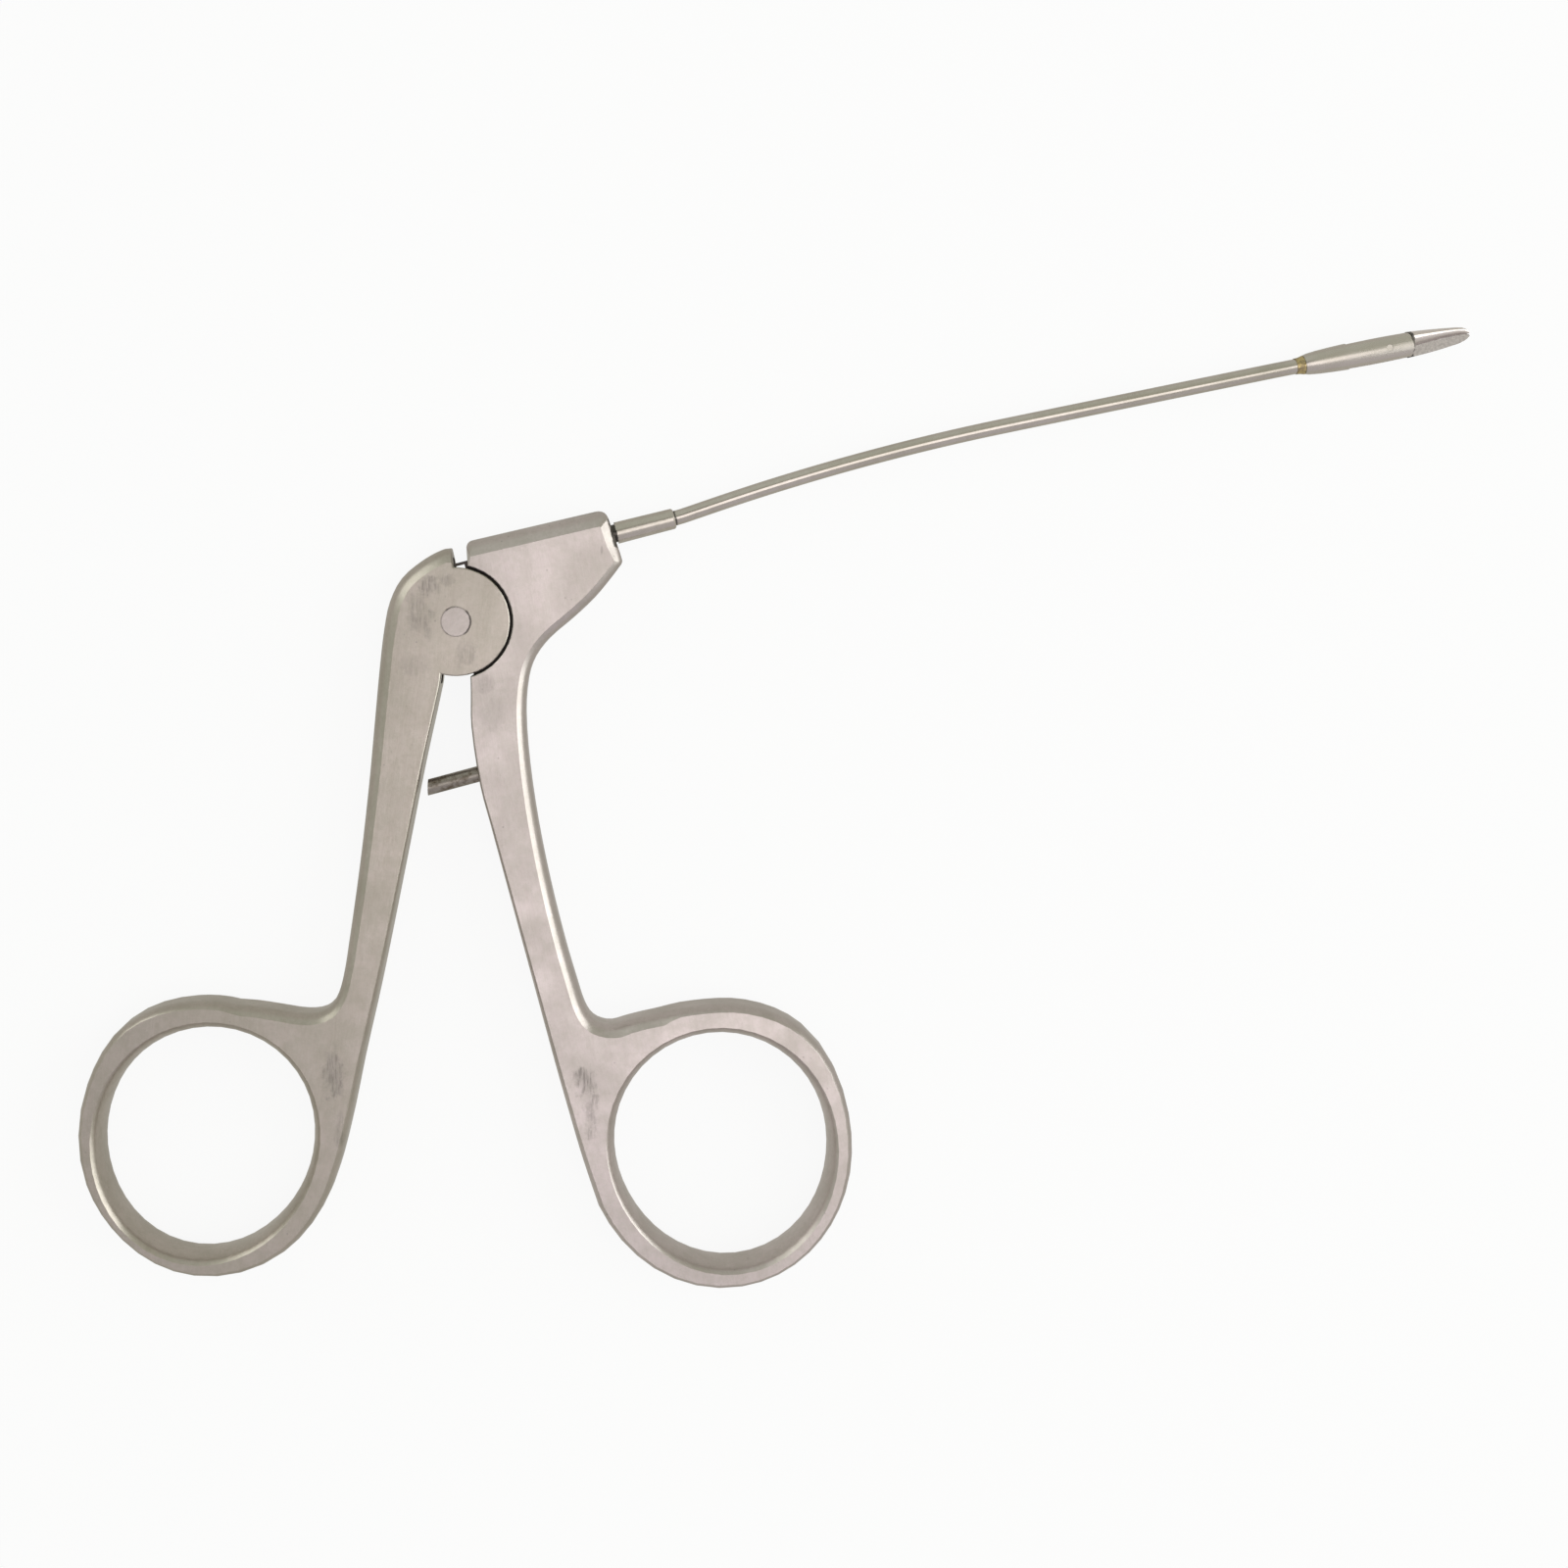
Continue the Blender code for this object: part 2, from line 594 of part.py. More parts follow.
def window():
    """The slot through the tongue in which the wire's end block slides."""
    rear = anchor_along() + wire_travel(HANDLE_CLOSE) - BLOCK_REAR - WINDOW_MARGIN
    front = anchor_along() + wire_travel(-HANDLE_OPEN) + BLOCK_FRONT + WINDOW_MARGIN
    half = BLOCK_WIDTH / 2 + RUN
    outline = axis_box(rear, front, half)
    low = MIDDLE - TONGUE_THICKNESS / 2
    bm = bmesh.new()
    extrude_outline(bm, outline, low - RUN, low + TONGUE_THICKNESS + RUN)
    return bm


def axis_bore(radius, start, end):
    """A round hole along the shaft axis."""
    bm = bmesh.new()
    revolve(bm, ((start, 0), (start, radius), (end, radius), (end, 0)), SMALL_SIDES)
    placed(bm, AXIS_ANGLE, axis_point(0), MIDDLE)
    return bm


def rear_handle(material, axis):
    """The handle that turns: forked hub with its shoulder, arm and left ring."""
    disc = arc(HUB_RADIUS, REAR_ARM_ANGLE, SHOULDER_ANGLE)
    ring = rim_points(RING_CENTRE_LEFT, RING_HOLE_LEFT, RIM_LEFT)
    back = curve_through([Vector(p) for p in REAR_BACK_EDGE] + [ring[0]])
    inner = curve_through([ring[-1]] + [Vector(p) for p in REAR_INNER_EDGE] + [disc[0]])
    runs = [
        rounded_run(disc, SHARP_EDGE),
        rounded_run([disc[-1], back[0]], SHARP_EDGE),
        rounded_run(back, BACK_ROUND[0], BACK_ROUND[1]),
        rounded_run(ring, RING_OUTER_ROUND),
        rounded_run(inner, RING_OUTER_ROUND, SHARP_EDGE),
    ]
    hole = hole_points(RING_CENTRE_LEFT, RING_HOLE_LEFT)
    bm = bmesh.new()
    rounded_plate(bm, [join_runs(runs), ring_hole(hole)])
    handle = make_object("rear_handle", bm, material, axis)
    half_slot = TONGUE_THICKNESS / 2 + RUN
    slot = cylinder(HUB_RADIUS + SLOT_REACH, MIDDLE - half_slot, MIDDLE + half_slot, 2 * ROUND_SIDES)
    apply_shape(handle, "fork_slot", slot)
    hole_radius = PIVOT_DIAMETER / 2 + FIT
    pivot_hole = cylinder(hole_radius, -OVERRUN, THICKNESS + OVERRUN, ROUND_SIDES)
    apply_shape(handle, "fork_pivot_hole", pivot_hole)
    reach = half_slot + POCKET_DEPTH
    pocket_radius = ANCHOR_DIAMETER / 2 + ANCHOR_PLAY
    pocket = cylinder(pocket_radius, MIDDLE - reach, MIDDLE + reach, SMALL_SIDES, axis_point(anchor_along()))
    apply_shape(handle, "anchor_pockets", pocket)
    return handle


def pivot_pin(material, axis):
    """The handle pivot, ground flush with both cheeks."""
    bm = cylinder(PIVOT_DIAMETER / 2, 0.0, THICKNESS, ROUND_SIDES)
    return make_object("pivot_pin", bm, material, axis)


def stop_shape(radius, start_inside, depth):
    """A rod along the stop pin's axis, from inside the gap to a depth in the front arm."""
    bm = bmesh.new()
    start = STOP_EXPOSED - start_inside if start_inside else 0.0
    end = STOP_EXPOSED + depth
    lean = math.tan(math.radians(STOP_ANGLE)) if not start_inside else 0.0
    revolve(bm, ((start, 0), (start, radius), (end, radius), (end, 0)), SMALL_SIDES)
    for vert in bm.verts:
        if abs(vert.co.x - start) < 1e-6:
            vert.co.x += vert.co.y * lean
    placed(bm, STOP_ANGLE, STOP_TIP, MIDDLE)
    return bm


def stop_pin(material):
    """The pin that keeps the arms apart, its free end cut upright."""
    return make_object("stop_pin", stop_shape(STOP_DIAMETER / 2, 0.0, STOP_SUNK), material)


def collar(material):
    """The turned sleeve that holds the tube, with a spigot in the housing's nose."""
    rear = COLLAR_START - SPIGOT_DEPTH + 2 * FIT
    front = COLLAR_START + COLLAR_LENGTH
    bore = socket_radius()
    spigot = bore + SPIGOT_WALL
    front_radius = bore + COLLAR_FRONT_WALL
    profile = (
        (rear, bore), (rear, spigot), (COLLAR_START, spigot), (COLLAR_START, bore + COLLAR_WALL),
        (front - COLLAR_BEVEL, front_radius), (front, front_radius - COLLAR_BEVEL), (front, bore))
    bm = bmesh.new()
    revolve(bm, profile, SMALL_SIDES)
    placed(bm, AXIS_ANGLE, axis_point(0), MIDDLE)
    return make_object("collar", bm, material)


def shaft_tube(material):
    """The thin tube, bent up at the collar and swept down to the head."""
    bm = bmesh.new()
    path = shaft_path(COLLAR_START - SPIGOT_DEPTH / 2, head_distance() + SOCKET_DEPTH - FIT)
    sweep(bm, path, TUBE_DIAMETER / 2, SMALL_SIDES, TUBE_BORE / 2)
    placed(bm, height=MIDDLE)
    return make_object("shaft_tube", bm, material)


def pull_wire(material, axis):
    """The wire from the hub's end block to the yoke in the head."""
    bm = bmesh.new()
    start = anchor_along() + ANCHOR_DIAMETER / 2 + 3 * RUN
    end = head_distance() + HEAD_REAR - DRIVE_PIN_BACK - YOKE_THROAT - RUN
    sweep(bm, shaft_path(start, end), WIRE_DIAMETER / 2, WIRE_SIDES)
    placed(bm, height=MIDDLE)
    return make_object("pull_wire", bm, material, axis)


def wire_block(material, axis):
    """The block soldered to the wire's rear end, bored for the anchor pin."""
    half = BLOCK_WIDTH / 2
    middle = anchor_along()
    rear = middle - BLOCK_REAR
    front = middle + BLOCK_FRONT
    outline = axis_box(rear, front, half)
    low = MIDDLE - TONGUE_THICKNESS / 2 + RUN
    bm = bmesh.new()
    extrude_outline(bm, outline, low, low + TONGUE_THICKNESS - 2 * RUN)
    block = make_object("wire_block", bm, material, axis)
    pin_hole = cylinder(ANCHOR_DIAMETER / 2 + FIT, 0.0, THICKNESS, SMALL_SIDES, axis_point(middle))
    apply_shape(block, "block_pin_hole", pin_hole)
    apply_shape(block, "block_wire_hole", axis_bore(WIRE_DIAMETER / 2 + FIT, middle, front + OVERRUN))
    return block


def anchor_pin(material, axis):
    """The cross pin that the fork's pockets carry back and forth."""
    reach = TONGUE_THICKNESS / 2 + RUN + POCKET_DEPTH - 2 * RUN
    at = axis_point(anchor_along())
    bm = cylinder(ANCHOR_DIAMETER / 2, MIDDLE - reach, MIDDLE + reach, SMALL_SIDES, at)
    return make_object("anchor_pin", bm, material, axis)


def braze_ring(material):
    """The fillet of brazing metal where the tube enters the head."""
    bm = bmesh.new()
    inner = socket_radius()
    rear = -HEAD_REAR - FIT
    profile = (
        (rear, inner), (rear - BRAZE_LENGTH, inner), (rear - BRAZE_LENGTH, inner + BRAZE_FEATHER),
        (rear - BRAZE_LENGTH * BRAZE_WAIST, inner + BRAZE_HEIGHT * BRAZE_WAIST), (rear, inner + BRAZE_HEIGHT))
    revolve(bm, profile, SMALL_SIDES)
    placed(bm, HEAD_ANGLE, blade_pivot(), MIDDLE)
    return make_object("braze_ring", bm, material)


def head_part(bm):
    """Puts a shape that is modelled about the blade pivot into its place."""
    placed(bm, HEAD_ANGLE, blade_pivot(), MIDDLE)
    return bm


def jaw_head(material):
    """The turned head: socket for the tube, chamber for the yoke and a slot for the blades."""
    chamber_rear = CHAMBER_FRONT + CHAMBER_LENGTH
    chamber = CHAMBER_DIAMETER / 2
    socket = socket_radius()
    front = RIM_RADIUS + RIM_OVERLAP
    socket_end = -HEAD_REAR + SOCKET_DEPTH
    profile = [(-HEAD_REAR, socket)]
    profile += [(-back, socket + wall) for back, wall in HEAD_PROFILE]
    profile += [
        (front, socket + HEAD_RIM_WALL), (front, 0), (-CHAMBER_FRONT, 0),
        (-CHAMBER_FRONT, chamber), (-chamber_rear, chamber), (-chamber_rear, TUBE_BORE / 2),
        (socket_end, TUBE_BORE / 2), (socket_end, socket)]
    bm = bmesh.new()
    revolve(bm, profile, ROUND_SIDES)
    head = make_object("jaw_head", head_part(bm), material)
    reach = 2 * (socket + HEAD_RIM_WALL)
    slot = bmesh.new()
    extrude_outline(
        slot, [(-HEAD_SLOT_REAR, -reach), (2 * reach, -reach), (2 * reach, reach), (-HEAD_SLOT_REAR, reach)],
        -HEAD_SLOT / 2, HEAD_SLOT / 2)
    apply_shape(head, "blade_slot", head_part(slot))
    rim = bmesh.new()
    front_arc = [(p.x, p.y) for p in arc(RIM_RADIUS, RIM_HALF_ANGLE, -RIM_HALF_ANGLE, RIM_ARC_STEP)]
    extrude_outline(rim, front_arc + [(2 * reach, -reach), (2 * reach, reach)], -reach, reach)
    apply_shape(head, "rim_arc", head_part(rim))
    pin_hole = cylinder(BLADE_PIN_DIAMETER / 2 + FIT, -reach, reach, SMALL_SIDES)
    apply_shape(head, "blade_pin_hole", head_part(pin_hole))
    return head


def blade_pivot_pin(material):
    half = socket_radius() + HEAD_RIM_WALL
    bm = cylinder(BLADE_PIN_DIAMETER / 2, -half, half, SMALL_SIDES)
    return make_object("blade_pivot_pin", head_part(bm), material)


def drive_path(side):
    """Centres of the drive pin in a blade's own frame, from just over closed to open."""
    slide = direction(AXIS_ANGLE - HEAD_ANGLE)
    ratio = BLADE_OPEN / HANDLE_OPEN
    points = []
    for i in range(CAM_STOPS + 1):
        handle = HANDLE_CLOSE - (HANDLE_OPEN + HANDLE_CLOSE) * i / CAM_STOPS
        pin = Vector((-DRIVE_PIN_BACK, 0.0)) + slide * wire_travel(handle)
        turn = Matrix.Rotation(math.radians(side * ratio * handle), 2)
        points.append(turn @ pin)
    return points


def cam_slot(side):
    """The cutter of a blade's cam slot: the drive pin's path with play all round."""
    path = drive_path(side)
    half = DRIVE_PIN_DIAMETER / 2 + BLADE_PLAY
    ways = [(b - a).normalized() for a, b in zip(path, path[1:])]
    ways = [ways[0]] + [(a + b).normalized() for a, b in zip(ways, ways[1:])] + [ways[-1]]
    right = [p + half * Vector((way.y, -way.x)) for p, way in zip(path, ways)]
    left = [p - half * Vector((way.y, -way.x)) for p, way in zip(path, ways)]
    head = math.degrees(math.atan2(ways[-1].y, ways[-1].x))
    tail = math.degrees(math.atan2(ways[0].y, ways[0].x))
    front_end = [path[-1] + p for p in arc(half, head - 90, head + 90, 20)[1:-1]]
    rear_end = [path[0] + p for p in arc(half, tail + 90, tail + 270, 20)[1:-1]]
    bm = bmesh.new()
    extrude_outline(bm, right + front_end + left[::-1] + rear_end, -HEAD_SLOT, HEAD_SLOT)
    return bm


def blade(name, material, axis, side, back, edge):
    """One blade: a half-round cutting part ahead of the head and a thin tang with its cam slot."""
    root = RIM_RADIUS + ROOT_GAP
    tip = min(back[-1][0], edge[-1][0])
    bm = bmesh.new()
    loops = []
    for share in BLADE_STATIONS:
        x = root + (tip - root) * share
        cutting, far = value_at(edge, x), value_at(back, x)
        height = BLADE_ROOT_HEIGHT + (BLADE_TIP_HEIGHT - BLADE_ROOT_HEIGHT) * share
        height *= min(1.0, TIP_LEAST + TIP_RISE * (1 - share))
        outer, inner = [], []
        for across, rise in BLADE_SECTION:
            y = cutting + (far - cutting) * across
            along = x - (root - math.sqrt(root**2 - y**2)) * (1 - share)
            outer.append(bm.verts.new((along, y, side * (BLADE_GAP / 2 + height * rise))))
            inner.append(bm.verts.new((along, y, side * BLADE_GAP / 2)))
        loops.append(outer + inner[::-1])
    for first, second in zip(loops, loops[1:]):
        for i in range(len(first)):
            bm.faces.new((first[i], first[i - 1], second[i - 1], second[i]))
    for loop in (loops[0], loops[-1]):
        for i in range(len(BLADE_SECTION) - 1):
            bm.faces.new((loop[i], loop[i + 1], loop[-i - 2], loop[-i - 1]))
    piece = make_object(name, head_part(bm), material, axis)
    tang = bmesh.new()
    outline = [(x, side * y) for x, y in TANG_OUTLINE][::side]
    near, far = side * BLADE_GAP / 2, side * (BLADE_GAP / 2 + TANG_THICKNESS)
    extrude_outline(tang, outline, min(near, far), max(near, far))
    apply_shape(piece, name + "_tang", head_part(tang), "UNION")
    hole = cylinder(BLADE_PIN_DIAMETER / 2 + BLADE_PLAY, -HEAD_SLOT, HEAD_SLOT, SMALL_SIDES)
    apply_shape(piece, name + "_pivot_hole", head_part(hole))
    apply_shape(piece, name + "_cam_slot", head_part(cam_slot(side)))
    return piece


def drive_yoke(material, axis):
    """The fork on the wire's front end, which straddles both tangs."""
    rear, throat, front = (-DRIVE_PIN_BACK - back for back in (YOKE_REAR, YOKE_THROAT, -YOKE_FRONT))
    radius = YOKE_DIAMETER / 2
    bm = bmesh.new()
    bore = WIRE_DIAMETER / 2 + FIT
    profile = ((rear, bore), (rear, radius), (front, radius), (front, 0), (throat, 0), (throat, bore))
    revolve(bm, profile, SMALL_SIDES)
    yoke = make_object("drive_yoke", head_part(bm), material, axis)
    slot = bmesh.new()
    reach = 2 * radius
    end = front + OVERRUN
    outline = [(throat, -reach), (end, -reach), (end, reach), (throat, reach)]
    extrude_outline(slot, outline, -YOKE_SLOT / 2, YOKE_SLOT / 2)
    apply_shape(yoke, "yoke_slot", head_part(slot))
    hole = cylinder(DRIVE_PIN_DIAMETER / 2 + FIT, -reach, reach, SMALL_SIDES, (-DRIVE_PIN_BACK, 0.0))
    apply_shape(yoke, "yoke_pin_hole", head_part(hole))
    return yoke


def drive_pin(material, axis):
    half = DRIVE_PIN_LENGTH / 2
    bm = cylinder(DRIVE_PIN_DIAMETER / 2, -half, half, SMALL_SIDES, (-DRIVE_PIN_BACK, 0.0))
    return make_object("drive_pin", head_part(bm), material, axis)


def main():
    for obj in list(bpy.data.objects):
        bpy.data.objects.remove(obj)
    handle_steel = steel("satin_handle_steel", (0.50, 0.45, 0.42), 0.32)
    shaft_steel = steel("polished_shaft_steel", (0.46, 0.42, 0.40), 0.24)
    blade_steel = steel("ground_blade_steel", (0.40, 0.36, 0.33), 0.30)
    pin_steel = steel("dull_pin_steel", (0.20, 0.18, 0.16), 0.38)
    braze = steel("braze_metal", (0.62, 0.45, 0.16), 0.30)

    handle_axis = joint_empty("handle_hinge_axis", (0.0, 0.0))
    wire_axis = joint_empty("wire_slide_axis", axis_point(anchor_along()), AXIS_ANGLE)
    upper_axis = joint_empty("upper_blade_axis", blade_pivot(), HEAD_ANGLE)
    lower_axis = joint_empty("lower_blade_axis", blade_pivot(), HEAD_ANGLE)

    front_handle(handle_steel)
    stop_pin(pin_steel)
    collar(shaft_steel)
    shaft_tube(shaft_steel)
    braze_ring(braze)
    jaw_head(shaft_steel)
    blade_pivot_pin(pin_steel)
    rear_handle(handle_steel, handle_axis)
    pivot_pin(handle_steel, handle_axis)
    pull_wire(pin_steel, wire_axis)
    wire_block(pin_steel, wire_axis)
    anchor_pin(pin_steel, wire_axis)
    drive_yoke(pin_steel, wire_axis)
    drive_pin(pin_steel, wire_axis)
    blade("upper_blade", blade_steel, upper_axis, 1, UPPER_BACK, UPPER_EDGE)
    blade("lower_blade", blade_steel, lower_axis, -1, LOWER_BACK, LOWER_EDGE)


main()
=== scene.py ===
"""Looks for a pair of ear scissors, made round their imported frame.

Ring handles of satin ground steel, a bent polished tube with a turned head, and two small
ground blades. Lengths are in metres, +Z points up out of the side that the instrument lies on.
"""
import json
import math

import bmesh
import bpy
import numpy
from bpy.props import FloatProperty, FloatVectorProperty, IntProperty, PointerProperty
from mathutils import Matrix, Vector

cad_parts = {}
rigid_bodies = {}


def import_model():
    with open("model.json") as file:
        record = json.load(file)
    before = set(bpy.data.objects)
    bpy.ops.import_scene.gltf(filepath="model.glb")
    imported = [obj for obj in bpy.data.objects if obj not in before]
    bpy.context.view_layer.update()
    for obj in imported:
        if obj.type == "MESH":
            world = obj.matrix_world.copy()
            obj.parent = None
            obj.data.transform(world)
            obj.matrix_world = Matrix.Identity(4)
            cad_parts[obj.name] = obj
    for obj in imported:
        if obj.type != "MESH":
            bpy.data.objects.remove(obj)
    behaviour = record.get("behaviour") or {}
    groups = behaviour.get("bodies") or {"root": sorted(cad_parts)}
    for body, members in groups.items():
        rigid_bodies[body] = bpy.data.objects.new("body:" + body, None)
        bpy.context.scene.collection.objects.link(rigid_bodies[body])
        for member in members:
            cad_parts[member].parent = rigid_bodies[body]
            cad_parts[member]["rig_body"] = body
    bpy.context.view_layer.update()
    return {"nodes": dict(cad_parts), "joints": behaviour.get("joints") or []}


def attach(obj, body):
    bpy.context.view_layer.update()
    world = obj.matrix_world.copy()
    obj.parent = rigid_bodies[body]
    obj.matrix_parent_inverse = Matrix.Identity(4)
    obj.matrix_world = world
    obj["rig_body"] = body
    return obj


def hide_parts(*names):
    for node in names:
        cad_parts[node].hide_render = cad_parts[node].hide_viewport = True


bl_info = {
    "name": "Ear Scissors Finish",
    "version": (1, 0, 0),
    "blender": (4, 5, 0),
    "location": "View3D > Sidebar > Ear Scissors",
    "description": "Models and finishes the pieces of a pair of ear scissors, and sets up a studio",
    "category": "Object",
}

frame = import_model()
MM = 0.001

# Places that the frame gives

JOINTS = {joint["name"]: joint for joint in frame["joints"]}
MIDDLE = JOINTS["handle_hinge"]["pos_m"][2]
TOP = 2 * MIDDLE
SHAFT_WAY = Vector(JOINTS["wire_slide"]["axis"]).normalized()
ACROSS_SHAFT = Vector((-SHAFT_WAY.y, SHAFT_WAY.x, 0.0))

# Hub: radii about the handle pivot

HUB_SEAM_RADIUS = 5.03 * MM
HUB_SEAM_FROM_X = 0.9 * MM
PIVOT_SEAM_RADIUS = 1.335 * MM
SLOT_RADIUS = 5.9 * MM
SLOT_HALF_HEIGHT = 1.02 * MM

# Shaft: distances along its axis, and how far the axis passes beside the pivot

NOSE_FACE = 15.66 * MM
COLLAR_FOOT = 16.1 * MM
COLLAR_END = 21.61 * MM
AXIS_SIDE = 4.28 * MM

# Head: its direction, and the distance along it where the blades leave the head

HEAD_WAY = Vector((0.974, 0.227, 0.0))
HEAD_END = 90.87 * MM

# Finger holes: centre and radius, rear and front

RINGS = ((Vector((-22.74, -47.2)) * MM, 9.98 * MM), (Vector((24.22, -47.88)) * MM, 10.11 * MM))
RING_REACH = 5 * MM

# Outer rim of the front ring: angles about the hole in degrees, and the shift there in millimetres

RIM_ANGLES = (94.0, 99.7, 102.0, 107.0, 111.0, 114.5, 118.0, 121.4, 126.3, 128.6, 131.0, 133.0, 136.0)
RIM_SHIFTS = (0.0, 0.10, 0.16, 0.04, -0.12, -0.06, 0.0, 0.08, 0.18, 0.17, 0.05, -0.03, 0.0)
RIM_INSIDE = 1.6 * MM
RIM_OUTSIDE = 17 * MM

# Handling marks: place, half width and half height in millimetres, how streaky, how strong

SMUDGES = (
    ((-2.4, 3.2), 1.0, 1.2, 1.0, 0.62),
    ((-3.3, 0.6), 1.2, 2.2, 0.9, 0.46),
    ((-0.9, 3.9), 0.8, 0.6, 0.6, 0.4),
    ((0.9, -2.9), 1.2, 1.3, 0.9, 0.40),
    ((-3.6, -3.9), 1.6, 1.0, 0.8, 0.24),
    ((2.7, -5.7), 0.9, 0.8, 0.5, 0.24),
    ((13.2, 6.5), 0.14, 0.5, 0.2, 0.40),
    ((-11.1, -41.2), 1.0, 2.6, 0.9, 0.62),
    ((-10.6, -46.0), 0.6, 2.0, 1.0, 0.4),
    ((11.6, -41.6), 1.3, 1.3, 1.0, 0.72),
    ((12.3, -44.6), 0.8, 2.2, 1.0, 0.55),
    ((3.4, -8.5), 1.3, 1.6, 0.4, 0.16),
)

# Camera: the photograph's side, scale and pivot in its pixels, and where the camera stands over it

PHOTO_SIDE = 1600
PIXEL = 0.09 * MM
PHOTO_PIVOT = (467, 634)
CAMERA_OVER = (602, 606)
CAMERA_HEIGHT = 173 * MM
SENSOR = 36.0

# Lamps: azimuth and elevation in degrees, distance, size, radiance and tint

SIDE_LIGHTS = (
    ("side_light", 4, 27, 0.6, (0.56, 0.46), 1.9, (0.95, 1.0, 0.99)),
    ("window_light", 142, 20, 0.6, (0.36, 0.4), 0.85, (0.95, 1.0, 0.92)),
)
OVERHEAD_PLACE = Vector((0.16, -0.06, 0.65))
OVERHEAD_SIZE = (0.44, 0.38)
OVERHEAD_RADIANCE = 1.15
OVERHEAD_TINT = (1.0, 0.965, 0.965)

# Room: what the steel mirrors on each side, overhead at the left, and on the floor

WHITE = (1, 1, 1)
NEAR_SIDE = (0.60, 0.585, 0.59)
FAR_SIDE = (0.50, 0.515, 0.43)
LEFT_SIDE = (0.60, 0.63, 0.56)
DARK_SPOT = (0.2, 0.19, 0.18)
DARK_SPOT_WAY = Vector((-0.2, 0.2, 0.96)).normalized()
ROOM_TURN = math.radians(30)
MIRRORED_FLOOR = (0.56, 0.555, 0.50)


def length(name, description, default):
    return FloatProperty(
        name=name, description=description, default=default, min=0.0, max=0.1, precision=6,
        subtype="DISTANCE", unit="LENGTH")


def angle(name, description, degrees):
    return FloatProperty(
        name=name, description=description, default=math.radians(degrees), subtype="ANGLE", unit="ROTATION")


def colour(name, description, default):
    return FloatVectorProperty(
        name=name, description=description, default=default, size=3, min=0.0, max=1.0, subtype="COLOR")


class EarScissorsSizes(bpy.types.PropertyGroup):
    """Sizes of the finished pieces that the frame doesn't give."""
    handle_grain: length("Handle grain", "Depth of the satin grain on the handles", 0.004 * MM)
    shaft_grain: length("Shaft grain", "Depth of the drawing lines on tube and collar", 0.0012 * MM)
    head_grain: length("Head grain", "Depth of the grain on the turned head", 0.0005 * MM)
    inner_grain: length("Inner grain", "Depth of the grain on the parts inside", 0.002 * MM)
    pin_relief: length("Pin relief", "Depth of the stains on the stop pin", 0.01 * MM)
    braze_relief: length("Braze relief", "Depth of the blotches on the brazing metal", 0.012 * MM)
    braze_unevenness: length("Braze unevenness", "How far the brazed fillet strays from round", 0.04 * MM)
    smooth_angle: angle("Smooth angle", "Edges flatter than this are shaded smooth", 32)
    ground_angle: angle(
        "Ground angle", "Roundings that meet a flat side at more than this show an edge there", 7)
    smoothing: IntProperty(
        name="Smoothing", description="Times that the faces of turned pieces are divided",
        default=2, min=0, max=3)


class EarScissorsColours(bpy.types.PropertyGroup):
    """Colours of the finishes."""
    handle: colour("Handle steel", "Ground steel of the handles", (0.62, 0.543, 0.54))
    handle_dull: colour("Handle steel, dull", "Duller patches of the handles", (0.52, 0.46, 0.44))
    handle_mottle: colour("Handle steel, mottled", "Small clouds on the handles", (0.44, 0.41, 0.365))
    # Painted highlight: a near-white that is mixed in on the ridges of the grain.
    painted_glint: colour("Glint", "Brightest of the ground lines", (1.0, 0.97, 0.95))
    # The grime colour also paints shade inside the hub's fork.
    grime_and_painted_shade: colour("Grime", "Oily dirt in the joints", (0.028, 0.024, 0.022))
    stain: colour("Stain", "Dark handling marks on the steel", (0.20, 0.18, 0.17))
    shaft: colour("Shaft steel", "Polished steel of tube, collar and head", (0.63, 0.575, 0.54))
    shaft_dull: colour("Shaft steel, dull", "Tarnished patches of the shaft", (0.50, 0.46, 0.39))
    shaft_mottle: colour("Shaft steel, mottled", "Small clouds on the shaft", (0.42, 0.38, 0.33))
    blade: colour("Blade steel", "Ground steel of the blades", (0.66, 0.60, 0.585))
    # On the lower blade these marks are strong and stand partly for painted shade.
    blade_marks_and_painted_shade: colour("Blade marks", "Grinding marks on the blades", (0.27, 0.245, 0.24))
    pin: colour("Pin steel", "Dull steel of the stop pin", (0.34, 0.305, 0.275))
    pin_stain: colour("Pin stain", "Brown stains on the stop pin", (0.16, 0.125, 0.095))
    pin_worn: colour("Pin steel, worn", "Worn lighter patches of the stop pin", (0.42, 0.385, 0.36))
    braze: colour("Braze", "Brazing metal between tube and head", (0.60, 0.475, 0.235))
    braze_dull: colour("Braze, dull", "Browner blotches on the brazing metal", (0.36, 0.28, 0.17))
    inner: colour("Inner steel", "Drawn steel of the parts inside", (0.46, 0.43, 0.41))
    inner_dull: colour("Inner steel, dull", "Duller patches of the parts inside", (0.30, 0.27, 0.25))
    floor: colour("Floor", "Plain pale floor", (0.86, 0.86, 0.86))


def sizes():
    return bpy.context.scene.ear_scissors_sizes


def colours():
    return bpy.context.scene.ear_scissors_colours


# Selecting and copying

def only(obj):
    """Makes an object the one that is selected and active."""
    bpy.ops.object.select_all(action="DESELECT")
    obj.select_set(True)
    bpy.context.view_layer.objects.active = obj


def edit_all(obj):
    """Enters edit mode on an object with all of its mesh selected."""
    only(obj)
    bpy.ops.object.mode_set(mode="EDIT")
    bpy.ops.mesh.select_all(action="SELECT")


def apply_modifier(obj, kind, **settings):
    only(obj)
    modifier = obj.modifiers.new(kind.lower(), kind)
    for name, value in settings.items():
        setattr(modifier, name, value)
    bpy.ops.object.modifier_apply(modifier=modifier.name)


